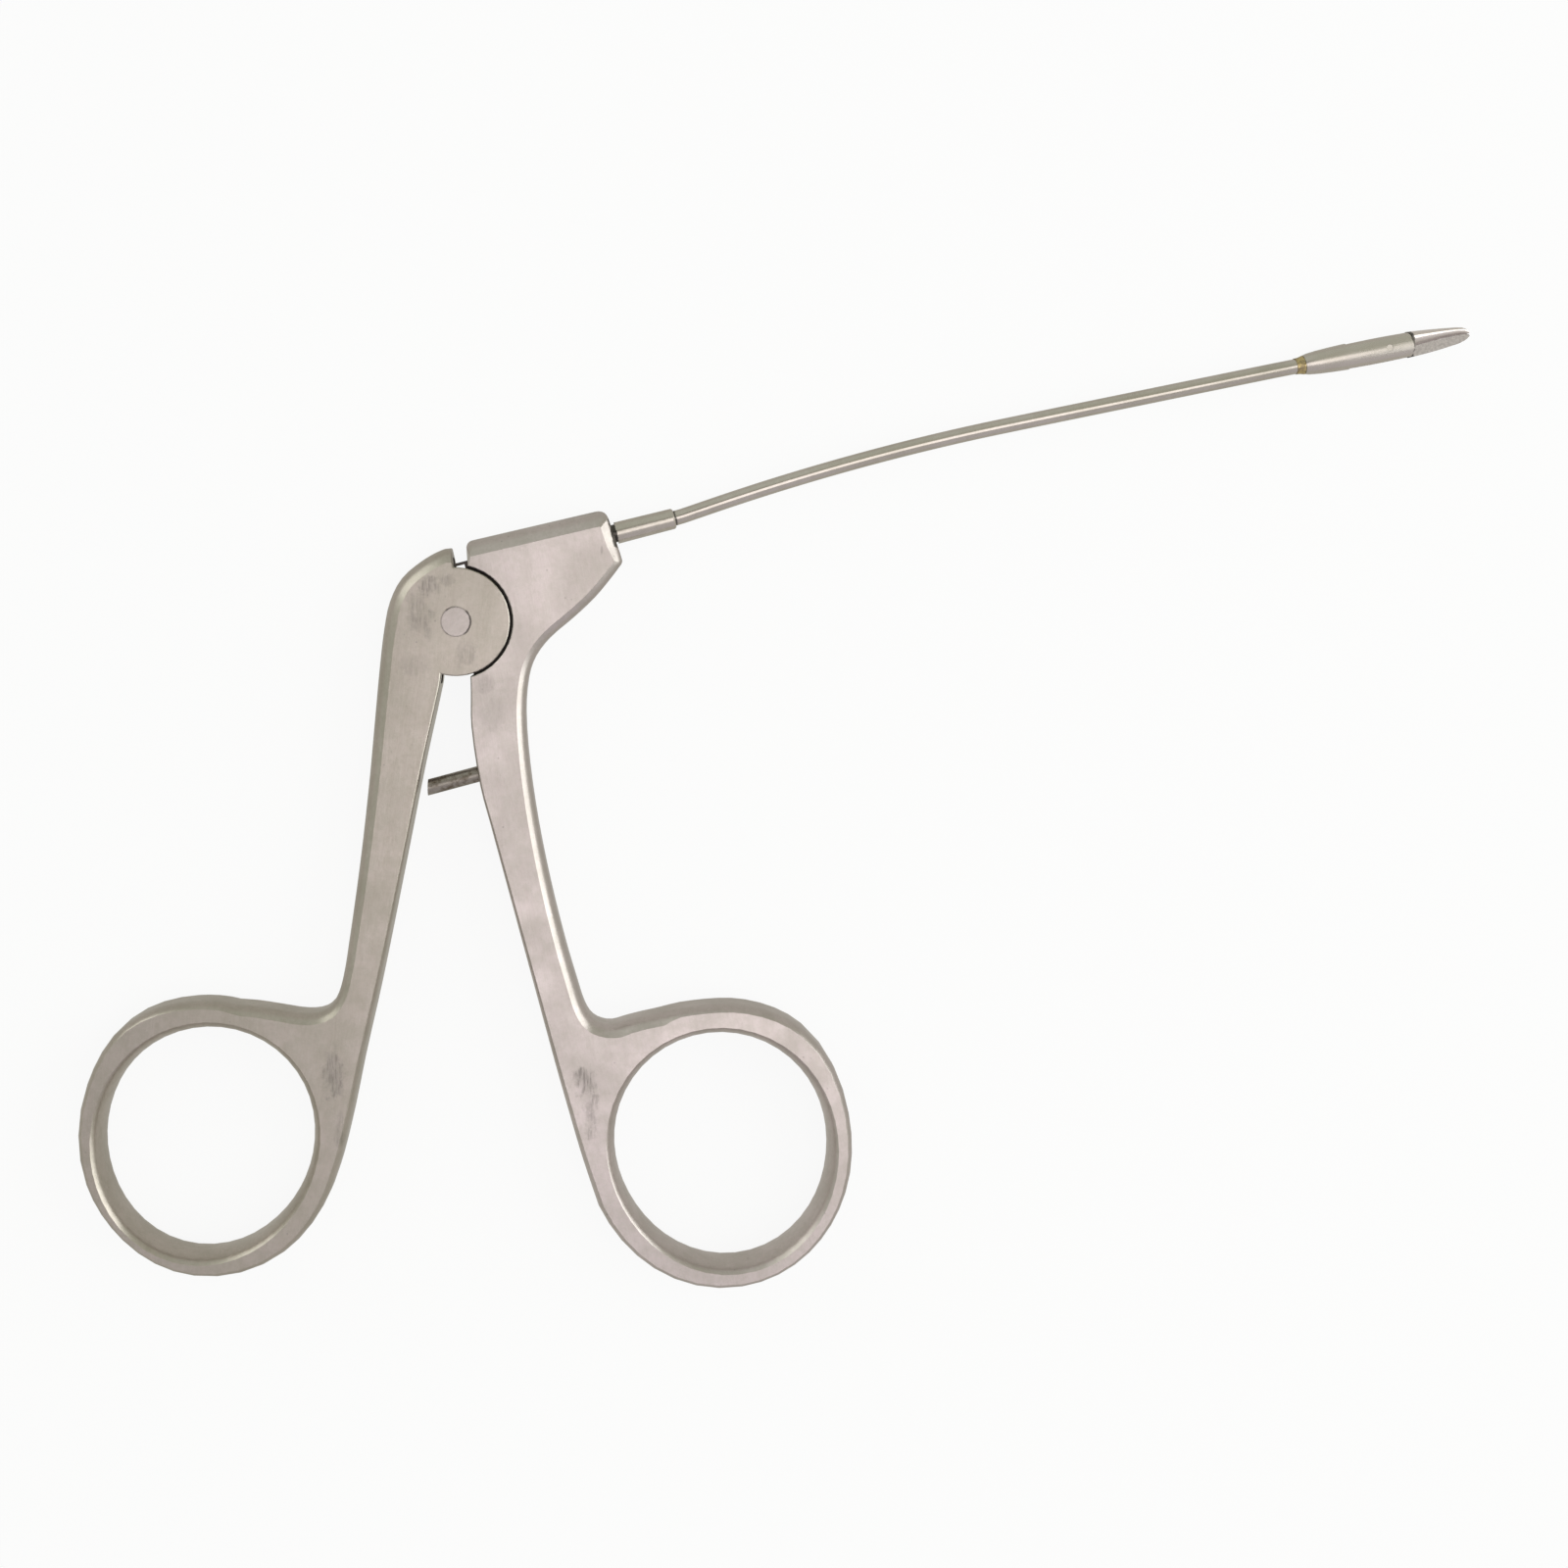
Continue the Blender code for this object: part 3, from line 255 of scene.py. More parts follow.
def merged_copy(node, name):
    """A copy of a frame node with its loose triangles merged into one skin."""
    piece = bpy.data.objects.new(name, frame["nodes"][node].data.copy())
    piece.data.materials.clear()
    bpy.context.scene.collection.objects.link(piece)
    edit_all(piece)
    bpy.ops.mesh.remove_doubles(threshold=0.001 * MM)
    bpy.ops.object.mode_set(mode="OBJECT")
    return piece


def shade(piece, ground_edges=False):
    """Shades faces smooth where they meet at a low angle, and keeps the flat faces flat."""
    only(piece)
    bpy.ops.mesh.customdata_custom_splitnormals_clear()
    bpy.ops.object.shade_smooth_by_angle(angle=sizes().smooth_angle)
    if ground_edges:
        mark_ground_edges(piece)
    apply_modifier(piece, "WEIGHTED_NORMAL", mode="FACE_AREA", weight=60, keep_sharp=True)


def shaded_copy(node, name):
    piece = merged_copy(node, name)
    shade(piece)
    return piece


def smooth_copy(node, name):
    """A merged copy whose faces are divided along its round surfaces, with sharp edges kept."""
    piece = merged_copy(node, name)
    only(piece)
    bpy.ops.mesh.customdata_custom_splitnormals_clear()
    edit_all(piece)
    bpy.ops.mesh.tris_convert_to_quads(face_threshold=math.radians(40), shape_threshold=math.radians(60))
    bpy.ops.mesh.select_all(action="DESELECT")
    bpy.ops.mesh.select_mode(type="EDGE")
    bpy.ops.mesh.edges_select_sharp(sharpness=sizes().smooth_angle)
    bpy.ops.transform.edge_crease(value=1.0)
    bpy.ops.object.mode_set(mode="OBJECT")
    apply_modifier(piece, "SUBSURF", levels=sizes().smoothing, render_levels=sizes().smoothing)
    bpy.ops.object.shade_smooth_by_angle(angle=sizes().smooth_angle)
    return piece


def make_uneven(piece, offset):
    """Gives a piece the uneven surface of solidified metal."""
    edit_all(piece)
    bpy.ops.transform.vertex_random(offset=offset, uniform=0.6, normal=0.4, seed=5)
    bpy.ops.mesh.vertices_smooth(factor=0.5, repeat=2)
    bpy.ops.object.mode_set(mode="OBJECT")


def ease_rim(piece):
    """Evens the outer rim of the front ring where it leaves the arm."""
    centre, radius = RINGS[1]
    for vertex in piece.data.vertices:
        away = vertex.co.xy - centre
        turn = math.degrees(math.atan2(away.y, away.x))
        if radius + RIM_INSIDE < away.length < RIM_OUTSIDE and RIM_ANGLES[0] < turn < RIM_ANGLES[-1]:
            shift = float(numpy.interp(turn, RIM_ANGLES, RIM_SHIFTS)) * MM
            vertex.co.xy += away.normalized() * shift


def turned_to_hole(middle, beside):
    """Whether a place beside an edge lies nearer to the finger hole than the edge does."""
    for centre, radius in RINGS:
        away = (middle.xy - centre).length
        if away < radius + RING_REACH:
            return (beside.xy - centre).length < away
    return False


def mark_ground_edges(piece):
    """Marks the edges sharp where a rounding meets a flat ground side, save round the finger holes."""
    mesh = bmesh.new()
    mesh.from_mesh(piece.data)
    for edge in mesh.edges:
        if len(edge.link_faces) == 2:
            flats = [abs(face.normal.z) > 0.9999 for face in edge.link_faces]
            rounding = edge.link_faces[1 if flats[0] else 0].calc_center_median()
            middle = (edge.verts[0].co + edge.verts[1].co) / 2
            if (flats[0] != flats[1] and edge.calc_face_angle(0.0) > sizes().ground_angle
                    and not turned_to_hole(middle, rounding)):
                edge.smooth = False
    mesh.to_mesh(piece.data)
    mesh.free()


def finished(piece, node, material):
    """Puts a finished piece in the place of its frame node."""
    piece.data.materials.clear()
    piece.data.materials.append(material)
    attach(piece, frame["nodes"][node]["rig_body"])
    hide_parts(node)


# Node helpers

def feed(tree, socket, value):
    """Links a socket to another one, or gives it a fixed number or colour."""
    if isinstance(value, bpy.types.NodeSocket):
        tree.links.new(value, socket)
    elif socket.type == "RGBA":
        socket.default_value = (*value[:3], 1)
    else:
        socket.default_value = value


def add_node(tree, kind, **settings):
    node = tree.nodes.new(kind)
    for name, value in settings.items():
        setattr(node, name, value)
    return node


def math_node(tree, operation, first, second=0.5, clamp=False):
    node = add_node(tree, "ShaderNodeMath", operation=operation, use_clamp=clamp)
    feed(tree, node.inputs[0], first)
    feed(tree, node.inputs[1], second)
    return node.outputs["Value"]


def vector_node(tree, operation, first, second=(0, 0, 0)):
    node = add_node(tree, "ShaderNodeVectorMath", operation=operation)
    feed(tree, node.inputs[0], first)
    feed(tree, node.inputs[1], second)
    return node.outputs


def axes(tree, vector):
    """The X, Y and Z outputs of a vector."""
    node = add_node(tree, "ShaderNodeSeparateXYZ")
    feed(tree, node.inputs["Vector"], vector)
    return node.outputs


def map_range(tree, value, low, high, out_low=0.0, out_high=1.0, smooth=False):
    node = add_node(tree, "ShaderNodeMapRange", interpolation_type="SMOOTHSTEP" if smooth else "LINEAR")
    feed(tree, node.inputs["Value"], value)
    for name, number in (("From Min", low), ("From Max", high), ("To Min", out_low), ("To Max", out_high)):
        node.inputs[name].default_value = number
    return node.outputs["Result"]


def spread(tree, mask, low, high):
    """A mask from 0 to 1, brought to other limits."""
    return map_range(tree, mask, 0.0, 1.0, low, high)


def noise(tree, vector, scale, detail=3.0, roughness=0.55):
    node = add_node(tree, "ShaderNodeTexNoise")
    for name, value in (("Vector", vector), ("Scale", scale), ("Detail", detail), ("Roughness", roughness)):
        feed(tree, node.inputs[name], value)
    return node.outputs["Fac"]


def mapped(tree, vector, turn=0.0, scale=(1, 1, 1)):
    """A vector turned about +Z and scaled."""
    node = add_node(tree, "ShaderNodeMapping")
    feed(tree, node.inputs["Vector"], vector)
    node.inputs["Rotation"].default_value = (0, 0, turn)
    node.inputs["Scale"].default_value = scale
    return node.outputs["Vector"]


def mix_value(tree, factor, first, second):
    node = add_node(tree, "ShaderNodeMix", data_type="FLOAT")
    for index, value in ((0, factor), (2, first), (3, second)):
        feed(tree, node.inputs[index], value)
    return node.outputs[0]


def mix_colour(tree, factor, first, second):
    node = add_node(tree, "ShaderNodeMix", data_type="RGBA")
    for index, value in ((0, factor), (6, first), (7, second)):
        feed(tree, node.inputs[index], value)
    return node.outputs[2]


def painted(tree, tone, mask, strength, paint):
    """A tone with another colour on it where a mask shows."""
    return mix_colour(tree, math_node(tree, "MULTIPLY", mask, strength), tone, paint)


def pivot_distance(tree, vector):
    """The distance from the handle pivot's axis, seen in the plan."""
    flat = vector_node(tree, "MULTIPLY", vector, (1, 1, 0))["Vector"]
    return vector_node(tree, "LENGTH", flat)["Value"]


# Node groups that several finishes share

def new_group(name, numbers, vectors=("Vector",), outputs=("Mask",)):
    """A shader node group, with the inner nodes that bring its inputs and take its outputs."""
    group = bpy.data.node_groups.new(name, "ShaderNodeTree")
    for label in vectors:
        group.interface.new_socket(label, in_out="INPUT", socket_type="NodeSocketVector")
    for label, default in numbers.items():
        socket = group.interface.new_socket(label, in_out="INPUT", socket_type="NodeSocketFloat")
        socket.default_value = default
    for label in outputs:
        group.interface.new_socket(label, in_out="OUTPUT", socket_type="NodeSocketFloat")
    return group, add_node(group, "NodeGroupInput").outputs, add_node(group, "NodeGroupOutput").inputs


def grain_group():
    """Fine grinding lines, stretched along Y of the vector: their height, dull patches and clouds."""
    group, entry, leave = new_group(
        "satin_grain", {"Lines": 9000.0}, outputs=("Height", "Patches", "Mottle"))
    place = entry["Vector"]
    stretched = mapped(group, place, scale=(1.0, 0.12, 1.0))
    fine = noise(group, stretched, entry["Lines"], roughness=0.6)
    coarse = noise(group, stretched, scale=1700.0, detail=2.0)
    speckle = noise(group, place, scale=5200.0, detail=2.0)
    lines = math_node(group, "ADD", fine, math_node(group, "MULTIPLY", coarse, 0.7))
    height = math_node(group, "ADD", lines, math_node(group, "MULTIPLY", speckle, 0.6))
    patches = noise(group, place, scale=160.0, detail=4.0, roughness=0.6)
    cloud = noise(group, place, scale=620.0, detail=5.0, roughness=0.7)
    dots = noise(group, place, scale=2700.0, roughness=0.6)
    mottle = math_node(
        group, "ADD", math_node(group, "MULTIPLY", cloud, 0.6), math_node(group, "MULTIPLY", dots, 0.4))
    feed(group, leave["Height"], height)
    feed(group, leave["Patches"], map_range(group, patches, 0.35, 0.68, smooth=True))
    feed(group, leave["Mottle"], map_range(group, mottle, 0.40, 0.60, smooth=True))


def smudge_group():
    """A dark handling mark round a place: soft at its rim, broken into short streaks."""
    group, entry, leave = new_group(
        "handling_smudge", {"Width": 2 * MM, "Height": 4 * MM, "Streaks": 1.0}, vectors=("Vector", "Place"))
    place = entry["Vector"]
    offset = axes(group, vector_node(group, "SUBTRACT", place, entry["Place"])["Vector"])
    x = math_node(group, "DIVIDE", offset["X"], entry["Width"])
    y = math_node(group, "DIVIDE", offset["Y"], entry["Height"])
    squares = math_node(group, "ADD", math_node(group, "MULTIPLY", x, x), math_node(group, "MULTIPLY", y, y))
    ragged = noise(group, place, scale=900.0, detail=4.0, roughness=0.65)
    reach = math_node(group, "ADD", squares, map_range(group, ragged, 0.3, 0.7, -0.9, 0.9))
    soft = map_range(group, reach, 1.3, 0.0, smooth=True)
    fibres = noise(group, mapped(group, place, turn=0.1, scale=(1.0, 0.16, 1.0)), scale=4200.0, roughness=0.6)
    streak = map_range(group, fibres, 0.42, 0.62, 0.25, 1.0)
    broken = mix_value(group, entry["Streaks"], 1.0, streak)
    feed(group, leave["Mask"], math_node(group, "MULTIPLY", soft, broken, clamp=True))


def seam_group():
    """A dark line round a circle in the plan, broken up along its length."""
    group, entry, leave = new_group(
        "dark_seam", {"Radius": 5 * MM, "Width": 0.1 * MM, "Gaps": 0.0, "From X": -1.0})
    place = entry["Vector"]
    beyond = math_node(group, "GREATER_THAN", axes(group, place)["X"], entry["From X"])
    away = math_node(group, "SUBTRACT", pivot_distance(group, place), entry["Radius"])
    widths = math_node(group, "DIVIDE", math_node(group, "ABSOLUTE", away), entry["Width"])
    ragged = map_range(group, noise(group, place, scale=2600.0), 0.3, 0.7, -0.35, 0.35)
    line = map_range(group, math_node(group, "ADD", widths, ragged), 1.2, 0.5, smooth=True)
    breaks = map_range(group, noise(group, place, scale=520.0, detail=2.0), 0.44, 0.56, smooth=True)
    kept = mix_value(group, entry["Gaps"], 1.0, breaks)
    line = math_node(group, "MULTIPLY", line, beyond)
    feed(group, leave["Mask"], math_node(group, "MULTIPLY", line, kept, clamp=True))


def band_group():
    """A ragged band across an axis: between two distances along a direction."""
    group, entry, leave = new_group(
        "ragged_band", {"Start": 0.0, "End": 1 * MM, "Soft": 0.1 * MM}, vectors=("Vector", "Way"))
    along = vector_node(group, "DOT_PRODUCT", entry["Vector"], entry["Way"])["Value"]
    rough = noise(group, entry["Vector"], scale=3200.0, roughness=0.6)
    shift = math_node(group, "MULTIPLY", map_range(group, rough, 0.3, 0.7, -1.0, 1.0), entry["Soft"])
    reach = math_node(group, "ADD", along, shift)
    after = math_node(group, "SUBTRACT", reach, entry["Start"])
    before = math_node(group, "SUBTRACT", entry["End"], reach)
    inside = math_node(group, "DIVIDE", math_node(group, "MINIMUM", after, before), entry["Soft"])
    feed(group, leave["Mask"], math_node(group, "ADD", inside, 0.5, clamp=True))


def slot_shade_group():
    """Painted shade on the faces inside the hub's fork, darkening them where they lie between its cheeks."""
    group, entry, leave = new_group(
        "slot_painted_shade", {"Radius": SLOT_RADIUS, "Half height": SLOT_HALF_HEIGHT})
    within = math_node(group, "LESS_THAN", pivot_distance(group, entry["Vector"]), entry["Radius"])
    rise = math_node(group, "SUBTRACT", axes(group, entry["Vector"])["Z"], MIDDLE)
    low = math_node(group, "LESS_THAN", math_node(group, "ABSOLUTE", rise), entry["Half height"])
    feed(group, leave["Mask"], math_node(group, "MULTIPLY", within, low))


def speck_group():
    """Small dark specks and pits, sparse, of uneven size."""
    group, entry, leave = new_group("specks", {"Scale": 1500.0})
    cells = add_node(group, "ShaderNodeTexVoronoi")
    feed(group, cells.inputs["Vector"], entry["Vector"])
    feed(group, cells.inputs["Scale"], entry["Scale"])
    dots = map_range(group, cells.outputs["Distance"], 0.16, 0.04, smooth=True)
    where = map_range(
        group, noise(group, entry["Vector"], scale=420.0, detail=2.0), 0.56, 0.66, smooth=True)
    feed(group, leave["Mask"], math_node(group, "MULTIPLY", dots, where))


def use_group(tree, name, vector, **values):
    """Places a shared group and gives its outputs. An underscore in a name stands for a space."""
    node = add_node(tree, "ShaderNodeGroup")
    node.node_tree = bpy.data.node_groups[name]
    feed(tree, node.inputs["Vector"], vector)
    for label, value in values.items():
        node.inputs[label.replace("_", " ")].default_value = value
    return node.outputs


# Finishes

def new_material(name):
    """A metal with its node tree, its shader's inputs and the object coordinates."""
    material = bpy.data.materials.new(name)
    material.use_nodes = True
    tree = material.node_tree
    surface = tree.nodes["Principled BSDF"].inputs
    surface["Metallic"].default_value = 1.0
    return material, tree, surface, add_node(tree, "ShaderNodeTexCoord").outputs["Object"]


def set_surface(tree, surface, tone, gloss, height, depth):
    """Gives a shader its colour, its roughness and a relief of a given depth."""
    feed(tree, surface["Base Color"], tone)
    feed(tree, surface["Roughness"], gloss)
    bump = add_node(tree, "ShaderNodeBump")
    bump.inputs["Strength"].default_value = 1.0
    bump.inputs["Distance"].default_value = depth
    feed(tree, bump.inputs["Height"], height)
    feed(tree, surface["Normal"], bump.outputs["Normal"])


def with_painted_shading(paint, painted_shading):
    """A colour times a share of painted light and shade, or times one share for each channel."""
    shares = painted_shading if isinstance(painted_shading, tuple) else (painted_shading,) * 3
    return tuple(value * one for value, one in zip(paint, shares))


def handle_dirt_and_shade(tree, place):
    """Masks of the dirt round the hub, the pivot and at the shaft's root, and of the painted shade in the
    fork, with strengths.
    """
    hub_seam = use_group(
        tree, "dark_seam", place, Radius=HUB_SEAM_RADIUS, Width=0.16 * MM, From_X=HUB_SEAM_FROM_X)
    pivot_seam = use_group(tree, "dark_seam", place, Radius=PIVOT_SEAM_RADIUS, Width=0.1 * MM, Gaps=0.75)
    # Painted shade in the fork, between its cheeks.
    fork_shade = use_group(tree, "slot_painted_shade", place)
    nose = use_group(
        tree, "ragged_band", place, Way=SHAFT_WAY, Start=NOSE_FACE - 0.06 * MM, End=NOSE_FACE + 1 * MM,
        Soft=0.08 * MM)
    socket = use_group(
        tree, "ragged_band", place, Way=ACROSS_SHAFT, Start=AXIS_SIDE - 1.3 * MM, End=AXIS_SIDE + 1.4 * MM,
        Soft=0.2 * MM)
    root = math_node(tree, "MULTIPLY", nose["Mask"], socket["Mask"])
    return (hub_seam["Mask"], 0.92), (pivot_seam["Mask"], 0.7), (fork_shade["Mask"], 0.9), (root, 0.85)


def handle_material(name, tilt, painted_shading):
    """Satin ground steel: fine grain with a painted highlight on its ridges, duller patches, specks, handling
    marks and dirt, painted shade in the fork, and the tone times a share of painted shade.
    """
    paint = colours()
    material, tree, surface, place = new_material(name)
    grain = use_group(tree, "satin_grain", mapped(tree, place, turn=tilt), Lines=6500.0)
    tone = mix_colour(
        tree, spread(tree, grain["Patches"], 0.0, 0.7), with_painted_shading(paint.handle, painted_shading),
        with_painted_shading(paint.handle_dull, painted_shading))
    tone = mix_colour(tree, spread(tree, grain["Mottle"], 0.36, 0.0), tone, with_painted_shading(paint.handle_mottle, painted_shading))
    # Painted highlight: the ridges of the grain are lightened towards near white.
    tone = mix_colour(tree, map_range(tree, grain["Height"], 0.9, 1.5, 0.0, 0.08), tone, paint.painted_glint)
    for (x, y), width, height, streaks, strength in SMUDGES:
        mark = use_group(
            tree, "handling_smudge", place, Place=(x * MM, y * MM, TOP), Width=width * MM,
            Height=height * MM, Streaks=streaks)
        tone = painted(tree, tone, mark["Mask"], strength, paint.stain)
    specks = use_group(tree, "specks", place, Scale=1300.0)
    tone = painted(tree, tone, specks["Mask"], 0.5, paint.stain)
    # Dark dirt round the hub, the pivot and the shaft's root, and painted shade in the fork.
    for mask, strength in handle_dirt_and_shade(tree, place):
        tone = painted(tree, tone, mask, strength, paint.grime_and_painted_shade)
    gloss = spread(tree, grain["Patches"], 0.29, 0.37)
    set_surface(tree, surface, tone, gloss, grain["Height"], sizes().handle_grain)
    return material


def shaft_material(name, roughness, clouds, depth, dirt):
    """Polished steel with faint lengthwise lines, a slight tarnish and a band of dirt.

    The dirt is a direction, two distances along it and a strength.
    """
    paint = colours()
    material, tree, surface, place = new_material(name)
    along = mapped(tree, place, turn=math.radians(90) - math.atan2(SHAFT_WAY.y, SHAFT_WAY.x))
    grain = use_group(tree, "satin_grain", along, Lines=8000.0)
    tone = mix_colour(tree, spread(tree, grain["Patches"], 0.0, 0.4), paint.shaft, paint.shaft_dull)
    tone = mix_colour(tree, spread(tree, grain["Mottle"], clouds, 0.0), tone, paint.shaft_mottle)
    specks = use_group(tree, "specks", place, Scale=2400.0)
    tone = painted(tree, tone, specks["Mask"], 0.4, paint.stain)
    way, start, end, strength = dirt
    band = use_group(tree, "ragged_band", place, Way=way, Start=start, End=end, Soft=0.07 * MM)
    tone = painted(tree, tone, band["Mask"], strength, paint.grime_and_painted_shade)
    gloss = spread(tree, grain["Mottle"], roughness + 0.03, roughness - 0.01)
    set_surface(tree, surface, tone, gloss, grain["Height"], depth)
    return material


def blade_material(name, marks_and_painted_shade, painted_shading):
    """Ground steel times a share of painted light and shade, with grinding marks of a given strength that
    also stand for painted shade where strong, and dirt at the blade's root.
    """
    paint = colours()
    material, tree, surface, place = new_material(name)
    grain = use_group(tree, "satin_grain", mapped(tree, place, turn=-0.2), Lines=9000.0)
    rough = noise(tree, place, scale=3600.0, detail=4.0, roughness=0.7)
    tone = mix_colour(
        tree, map_range(tree, rough, 0.42, 0.6, 0.0, marks_and_painted_shade), with_painted_shading(paint.blade, painted_shading), paint.blade_marks_and_painted_shade)
    root = use_group(
        tree, "ragged_band", place, Way=HEAD_WAY, Start=HEAD_END - 2 * MM, End=HEAD_END + 0.22 * MM,
        Soft=0.06 * MM)
    tone = painted(tree, tone, root["Mask"], 0.85, paint.grime_and_painted_shade)
    gloss = map_range(tree, rough, 0.3, 0.7, 0.26, 0.42)
    height = math_node(tree, "ADD", grain["Height"], rough)
    set_surface(tree, surface, tone, gloss, height, (0.002 + 0.008 * marks_and_painted_shade) * MM)
    return material


def pin_material():
    """Dull, brown-stained steel."""
    paint = colours()
    material, tree, surface, place = new_material("stained_pin_steel")
    stain = noise(tree, place, scale=1500.0, detail=5.0, roughness=0.65)
    tone = mix_colour(tree, map_range(tree, stain, 0.46, 0.66), paint.pin, paint.pin_stain)
    worn = map_range(tree, noise(tree, place, scale=700.0, detail=2.0), 0.5, 0.7, 0.0, 0.6)
    tone = mix_colour(tree, worn, tone, paint.pin_worn)
    gloss = map_range(tree, stain, 0.3, 0.7, 0.28, 0.5)
    set_surface(tree, surface, tone, gloss, stain, sizes().pin_relief)
    return material


def braze_material():
    """Golden brazing metal with browner blotches."""
    paint = colours()
    material, tree, surface, place = new_material("braze_metal")
    blotch = noise(tree, place, scale=2600.0, roughness=0.6)
    tone = mix_colour(tree, map_range(tree, blotch, 0.42, 0.6), paint.braze, paint.braze_dull)
    gloss = map_range(tree, blotch, 0.3, 0.7, 0.22, 0.4)
    set_surface(tree, surface, tone, gloss, blotch, sizes().braze_relief)
    return material


def inner_material():
    """Plain drawn steel of the parts inside."""
    paint = colours()
    material, tree, surface, place = new_material("inner_drawn_steel")
    grain = use_group(tree, "satin_grain", place, Lines=9000.0)
    tone = mix_colour(tree, grain["Patches"], paint.inner, paint.inner_dull)
    gloss = map_range(tree, grain["Height"], 0.8, 1.6, 0.26, 0.4)
    set_surface(tree, surface, tone, gloss, grain["Height"], sizes().inner_grain)
    return material


# Pieces

class EARSCISSORS_OT_handles(bpy.types.Operator):
    """Finishes the two ring handles"""
    bl_idname = "ear_scissors.handles"
    bl_label = "Ring Handles"

    def execute(self, context):
        # The rear handle's steel is painted darker and yellower than the front one's: painted shade for the
        # dimmer reflection on that side.
        rows = (
            ("front_handle", "front_ring_handle", -0.18, 1.0),
            ("rear_handle", "rear_ring_handle", 0.12, (0.86, 0.865, 0.80)))
        for node, name, tilt, painted_shading in rows:
            piece = merged_copy(node, name)
            if node == "front_handle":
                ease_rim(piece)
            shade(piece, ground_edges=True)
            finished(piece, node, handle_material(name + "_steel", tilt, painted_shading))
        return {"FINISHED"}


class EARSCISSORS_OT_shaft(bpy.types.Operator):
    """Finishes the shaft tube, its collar, the brazed fillet, the turned head and its rivet"""
    bl_idname = "ear_scissors.shaft"
    bl_label = "Shaft, Collar and Head"

    def execute(self, context):
        tube_dirt = (SHAFT_WAY, COLLAR_END - 1 * MM, COLLAR_END + 0.16 * MM, 0.8)
        collar_dirt = (SHAFT_WAY, 0.0, COLLAR_FOOT + 0.05 * MM, 0.9)
        head_dirt = (HEAD_WAY, HEAD_END - 0.12 * MM, HEAD_END + 1 * MM, 0.7)
        rows = (("shaft_tube", "bent_tube", 0.17, tube_dirt), ("collar", "turned_collar", 0.24, collar_dirt))
        for node, name, roughness, dirt in rows:
            steel = shaft_material(name + "_steel", roughness, 0.22, sizes().shaft_grain, dirt)
            finished(smooth_copy(node, name), node, steel)
        steel = shaft_material("turned_head_steel", 0.27, 0.06, sizes().head_grain, head_dirt)
        finished(shaded_copy("jaw_head", "turned_head"), "jaw_head", steel)
        finished(shaded_copy("blade_pivot_pin", "blade_rivet"), "blade_pivot_pin", steel)
        fillet = smooth_copy("braze_ring", "braze_fillet")
        make_uneven(fillet, sizes().braze_unevenness)
        finished(fillet, "braze_ring", braze_material())
        return {"FINISHED"}


class EARSCISSORS_OT_blades(bpy.types.Operator):
    """Finishes the two blades"""
    bl_idname = "ear_scissors.blades"
    bl_label = "Blades"

    def execute(self, context):
        # The upper blade is painted lighter and the lower one darker and more marked: painted light and shade
        # on one steel.
        for node, marks_and_painted_shade, painted_shading in (("upper_blade", 0.12, 1.28), ("lower_blade", 0.6, 0.66)):
            steel = blade_material(node + "_steel", marks_and_painted_shade, painted_shading)
            finished(shaded_copy(node, node + "_ground"), node, steel)
        return {"FINISHED"}


class EARSCISSORS_OT_pins(bpy.types.Operator):
    """Finishes the stop pin and the handle pivot"""
    bl_idname = "ear_scissors.pins"
    bl_label = "Pins"

    def execute(self, context):
        finished(shaded_copy("stop_pin", "stop_rod"), "stop_pin", pin_material())
        steel = handle_material("pivot_steel", 0.9, 0.92)
        finished(shaded_copy("pivot_pin", "pivot_rivet"), "pivot_pin", steel)
        return {"FINISHED"}


class EARSCISSORS_OT_inner(bpy.types.Operator):
    """Gives the parts inside their finish"""
    bl_idname = "ear_scissors.inner"
    bl_label = "Inner Parts"

    def execute(self, context):
        steel = inner_material()
        for node in ("pull_wire", "wire_block", "anchor_pin", "drive_yoke", "drive_pin"):
            obj = frame["nodes"][node]
            obj.data.materials.clear()
            obj.data.materials.append(steel)
        return {"FINISHED"}


# Studio

def photo_point(px, py):
    """The place on the middle plane that a pixel of the photograph shows."""
    return (px - PHOTO_PIVOT[0]) * PIXEL, (PHOTO_PIVOT[1] - py) * PIXEL


def add_lamp(name, place, way, size, radiance, tint):
    """A rectangular lamp at a place, shining against a direction, with its brightness as radiance."""
    lamp = bpy.data.lights.new(name, "AREA")
    lamp.shape = "RECTANGLE"
    lamp.size, lamp.size_y = size
    lamp.energy = radiance * math.pi * size[0] * size[1]
    lamp.color = tint
    obj = bpy.data.objects.new(name, lamp)
    obj.location = place
    obj.rotation_euler = way.to_track_quat("Z", "Y").to_euler()
    obj.visible_camera = False
    bpy.context.scene.collection.objects.link(obj)


def add_lamps():
    """A lamp overhead, and two that face the pivot from the sides."""
    add_lamp(
        "overhead_light", OVERHEAD_PLACE, Vector((0, 0, 1)), OVERHEAD_SIZE, OVERHEAD_RADIANCE, OVERHEAD_TINT)
    for name, azimuth, elevation, distance, size, radiance, tint in SIDE_LIGHTS:
        a, e = math.radians(azimuth), math.radians(elevation)
        way = Vector((math.cos(a) * math.cos(e), math.sin(a) * math.cos(e), math.sin(e)))
        add_lamp(name, way * distance, way, size, radiance, tint)


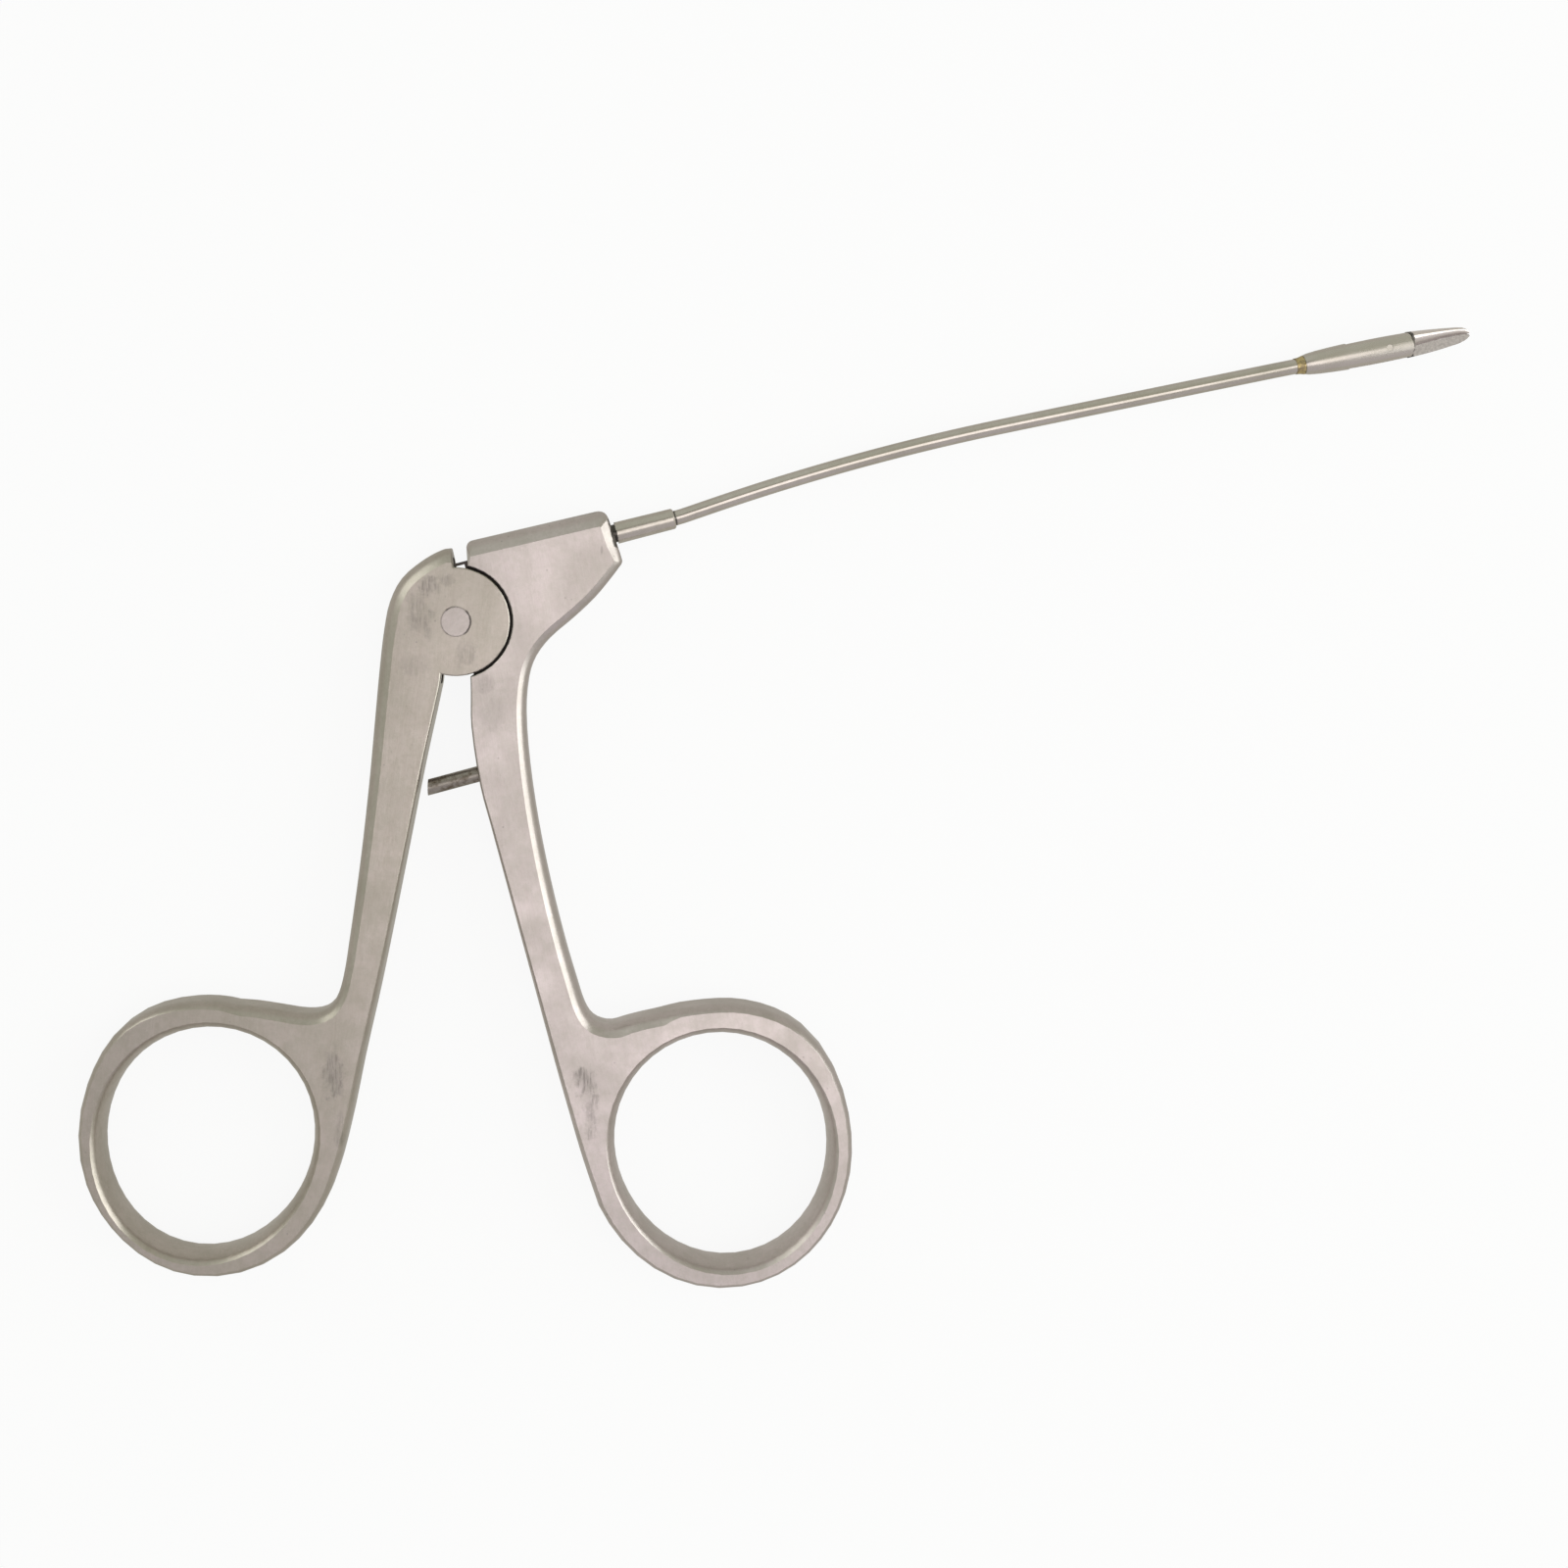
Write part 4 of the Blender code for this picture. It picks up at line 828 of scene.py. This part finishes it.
def add_camera():
    """The photograph's camera: straight down, shifted to the photograph's frame."""
    data = bpy.data.cameras.new("camera")
    data.sensor_width = SENSOR
    data.lens = SENSOR * CAMERA_HEIGHT / (PHOTO_SIDE * PIXEL)
    data.shift_x = (PHOTO_SIDE / 2 - CAMERA_OVER[0]) / PHOTO_SIDE
    data.shift_y = (CAMERA_OVER[1] - PHOTO_SIDE / 2) / PHOTO_SIDE
    data.clip_start = 0.001
    camera = bpy.data.objects.new("camera", data)
    x, y = photo_point(*CAMERA_OVER)
    camera.location = (x, y, MIDDLE + CAMERA_HEIGHT)
    bpy.context.scene.collection.objects.link(camera)
    bpy.context.scene.camera = camera


def add_floor():
    """A plain pale floor that shows nearly white and keeps the shadow."""
    bpy.ops.object.select_all(action="DESELECT")
    bpy.ops.mesh.primitive_plane_add(size=6.0, location=(0, 0, -0.02 * MM))
    floor = bpy.context.active_object
    floor.name = "floor"
    material = bpy.data.materials.new("pale_floor")
    material.use_nodes = True
    tree = material.node_tree
    shader = tree.nodes["Principled BSDF"]
    shader.inputs["Base Color"].default_value = (*colours().floor, 1)
    shader.inputs["Roughness"].default_value = 0.9
    shader.inputs["Specular IOR Level"].default_value = 0.1
    rays = add_node(tree, "ShaderNodeLightPath").outputs
    plain = add_node(tree, "ShaderNodeEmission")
    plain.inputs["Strength"].default_value = 1.0
    feed(tree, plain.inputs["Color"], mix_colour(tree, rays["Is Glossy Ray"], WHITE, MIRRORED_FLOOR))
    seen = math_node(tree, "MULTIPLY", rays["Is Camera Ray"], 0.9)
    through = math_node(tree, "MULTIPLY", rays["Is Transmission Ray"], 0.9)
    share = math_node(tree, "ADD", math_node(tree, "ADD", seen, rays["Is Glossy Ray"]), through, clamp=True)
    mix = add_node(tree, "ShaderNodeMixShader")
    feed(tree, mix.inputs[0], share)
    feed(tree, mix.inputs[1], shader.outputs[0])
    feed(tree, mix.inputs[2], plain.outputs[0])
    feed(tree, tree.nodes["Material Output"].inputs["Surface"], mix.outputs[0])
    floor.data.materials.append(material)


def add_world():
    """Soft room light: greener on the far side, with a dark spot overhead, white where it is seen."""
    world = bpy.data.worlds.new("studio_world")
    bpy.context.scene.world = world
    world.use_nodes = True
    tree = world.node_tree
    way = add_node(tree, "ShaderNodeTexCoord").outputs["Generated"]
    turned = axes(tree, mapped(tree, way, turn=ROOM_TURN))
    room = mix_colour(tree, map_range(tree, turned["Y"], -0.5, 0.3, smooth=True), NEAR_SIDE, FAR_SIDE)
    room = mix_colour(tree, map_range(tree, turned["X"], 0.0, -0.5, smooth=True), room, LEFT_SIDE)
    off_spot = vector_node(tree, "DISTANCE", way, DARK_SPOT_WAY)["Value"]
    room = mix_colour(tree, map_range(tree, off_spot, 0.3, 0.16, smooth=True), room, DARK_SPOT)
    rays = add_node(tree, "ShaderNodeLightPath").outputs
    seen = math_node(tree, "ADD", rays["Is Camera Ray"], rays["Is Transmission Ray"], clamp=True)
    background = tree.nodes["Background"]
    feed(tree, background.inputs["Color"], mix_colour(tree, seen, room, WHITE))
    background.inputs["Strength"].default_value = 1.0


class EARSCISSORS_OT_studio(bpy.types.Operator):
    """Sets up the floor, the light and the camera"""
    bl_idname = "ear_scissors.studio"
    bl_label = "Studio"

    def execute(self, context):
        context.scene.view_settings.view_transform = "Standard"
        add_floor()
        add_world()
        add_lamps()
        add_camera()
        return {"FINISHED"}


class EARSCISSORS_PT_pieces(bpy.types.Panel):
    """Lists the sizes, the colours and the steps that finish the scissors"""
    bl_label = "Ear Scissors"
    bl_idname = "EARSCISSORS_PT_pieces"
    bl_space_type = "VIEW_3D"
    bl_region_type = "UI"
    bl_category = "Ear Scissors"

    def draw(self, context):
        for group in (context.scene.ear_scissors_sizes, context.scene.ear_scissors_colours):
            column = self.layout.column(align=True)
            for name in group.__annotations__:
                column.prop(group, name)
        for operator in OPERATORS:
            self.layout.operator(operator.bl_idname)


OPERATORS = (
    EARSCISSORS_OT_handles, EARSCISSORS_OT_shaft, EARSCISSORS_OT_blades, EARSCISSORS_OT_pins,
    EARSCISSORS_OT_inner, EARSCISSORS_OT_studio)
CLASSES = (EarScissorsSizes, EarScissorsColours, *OPERATORS, EARSCISSORS_PT_pieces)


def register():
    for cls in CLASSES:
        bpy.utils.register_class(cls)
    bpy.types.Scene.ear_scissors_sizes = PointerProperty(type=EarScissorsSizes)
    bpy.types.Scene.ear_scissors_colours = PointerProperty(type=EarScissorsColours)


def unregister():
    del bpy.types.Scene.ear_scissors_sizes
    del bpy.types.Scene.ear_scissors_colours
    for cls in reversed(CLASSES):
        bpy.utils.unregister_class(cls)


def main():
    register()
    for make_group in (grain_group, smudge_group, seam_group, band_group, slot_shade_group, speck_group):
        make_group()
    bpy.ops.ear_scissors.handles()
    bpy.ops.ear_scissors.shaft()
    bpy.ops.ear_scissors.blades()
    bpy.ops.ear_scissors.pins()
    bpy.ops.ear_scissors.inner()
    bpy.ops.ear_scissors.studio()


if __name__ == "__main__":
    main()
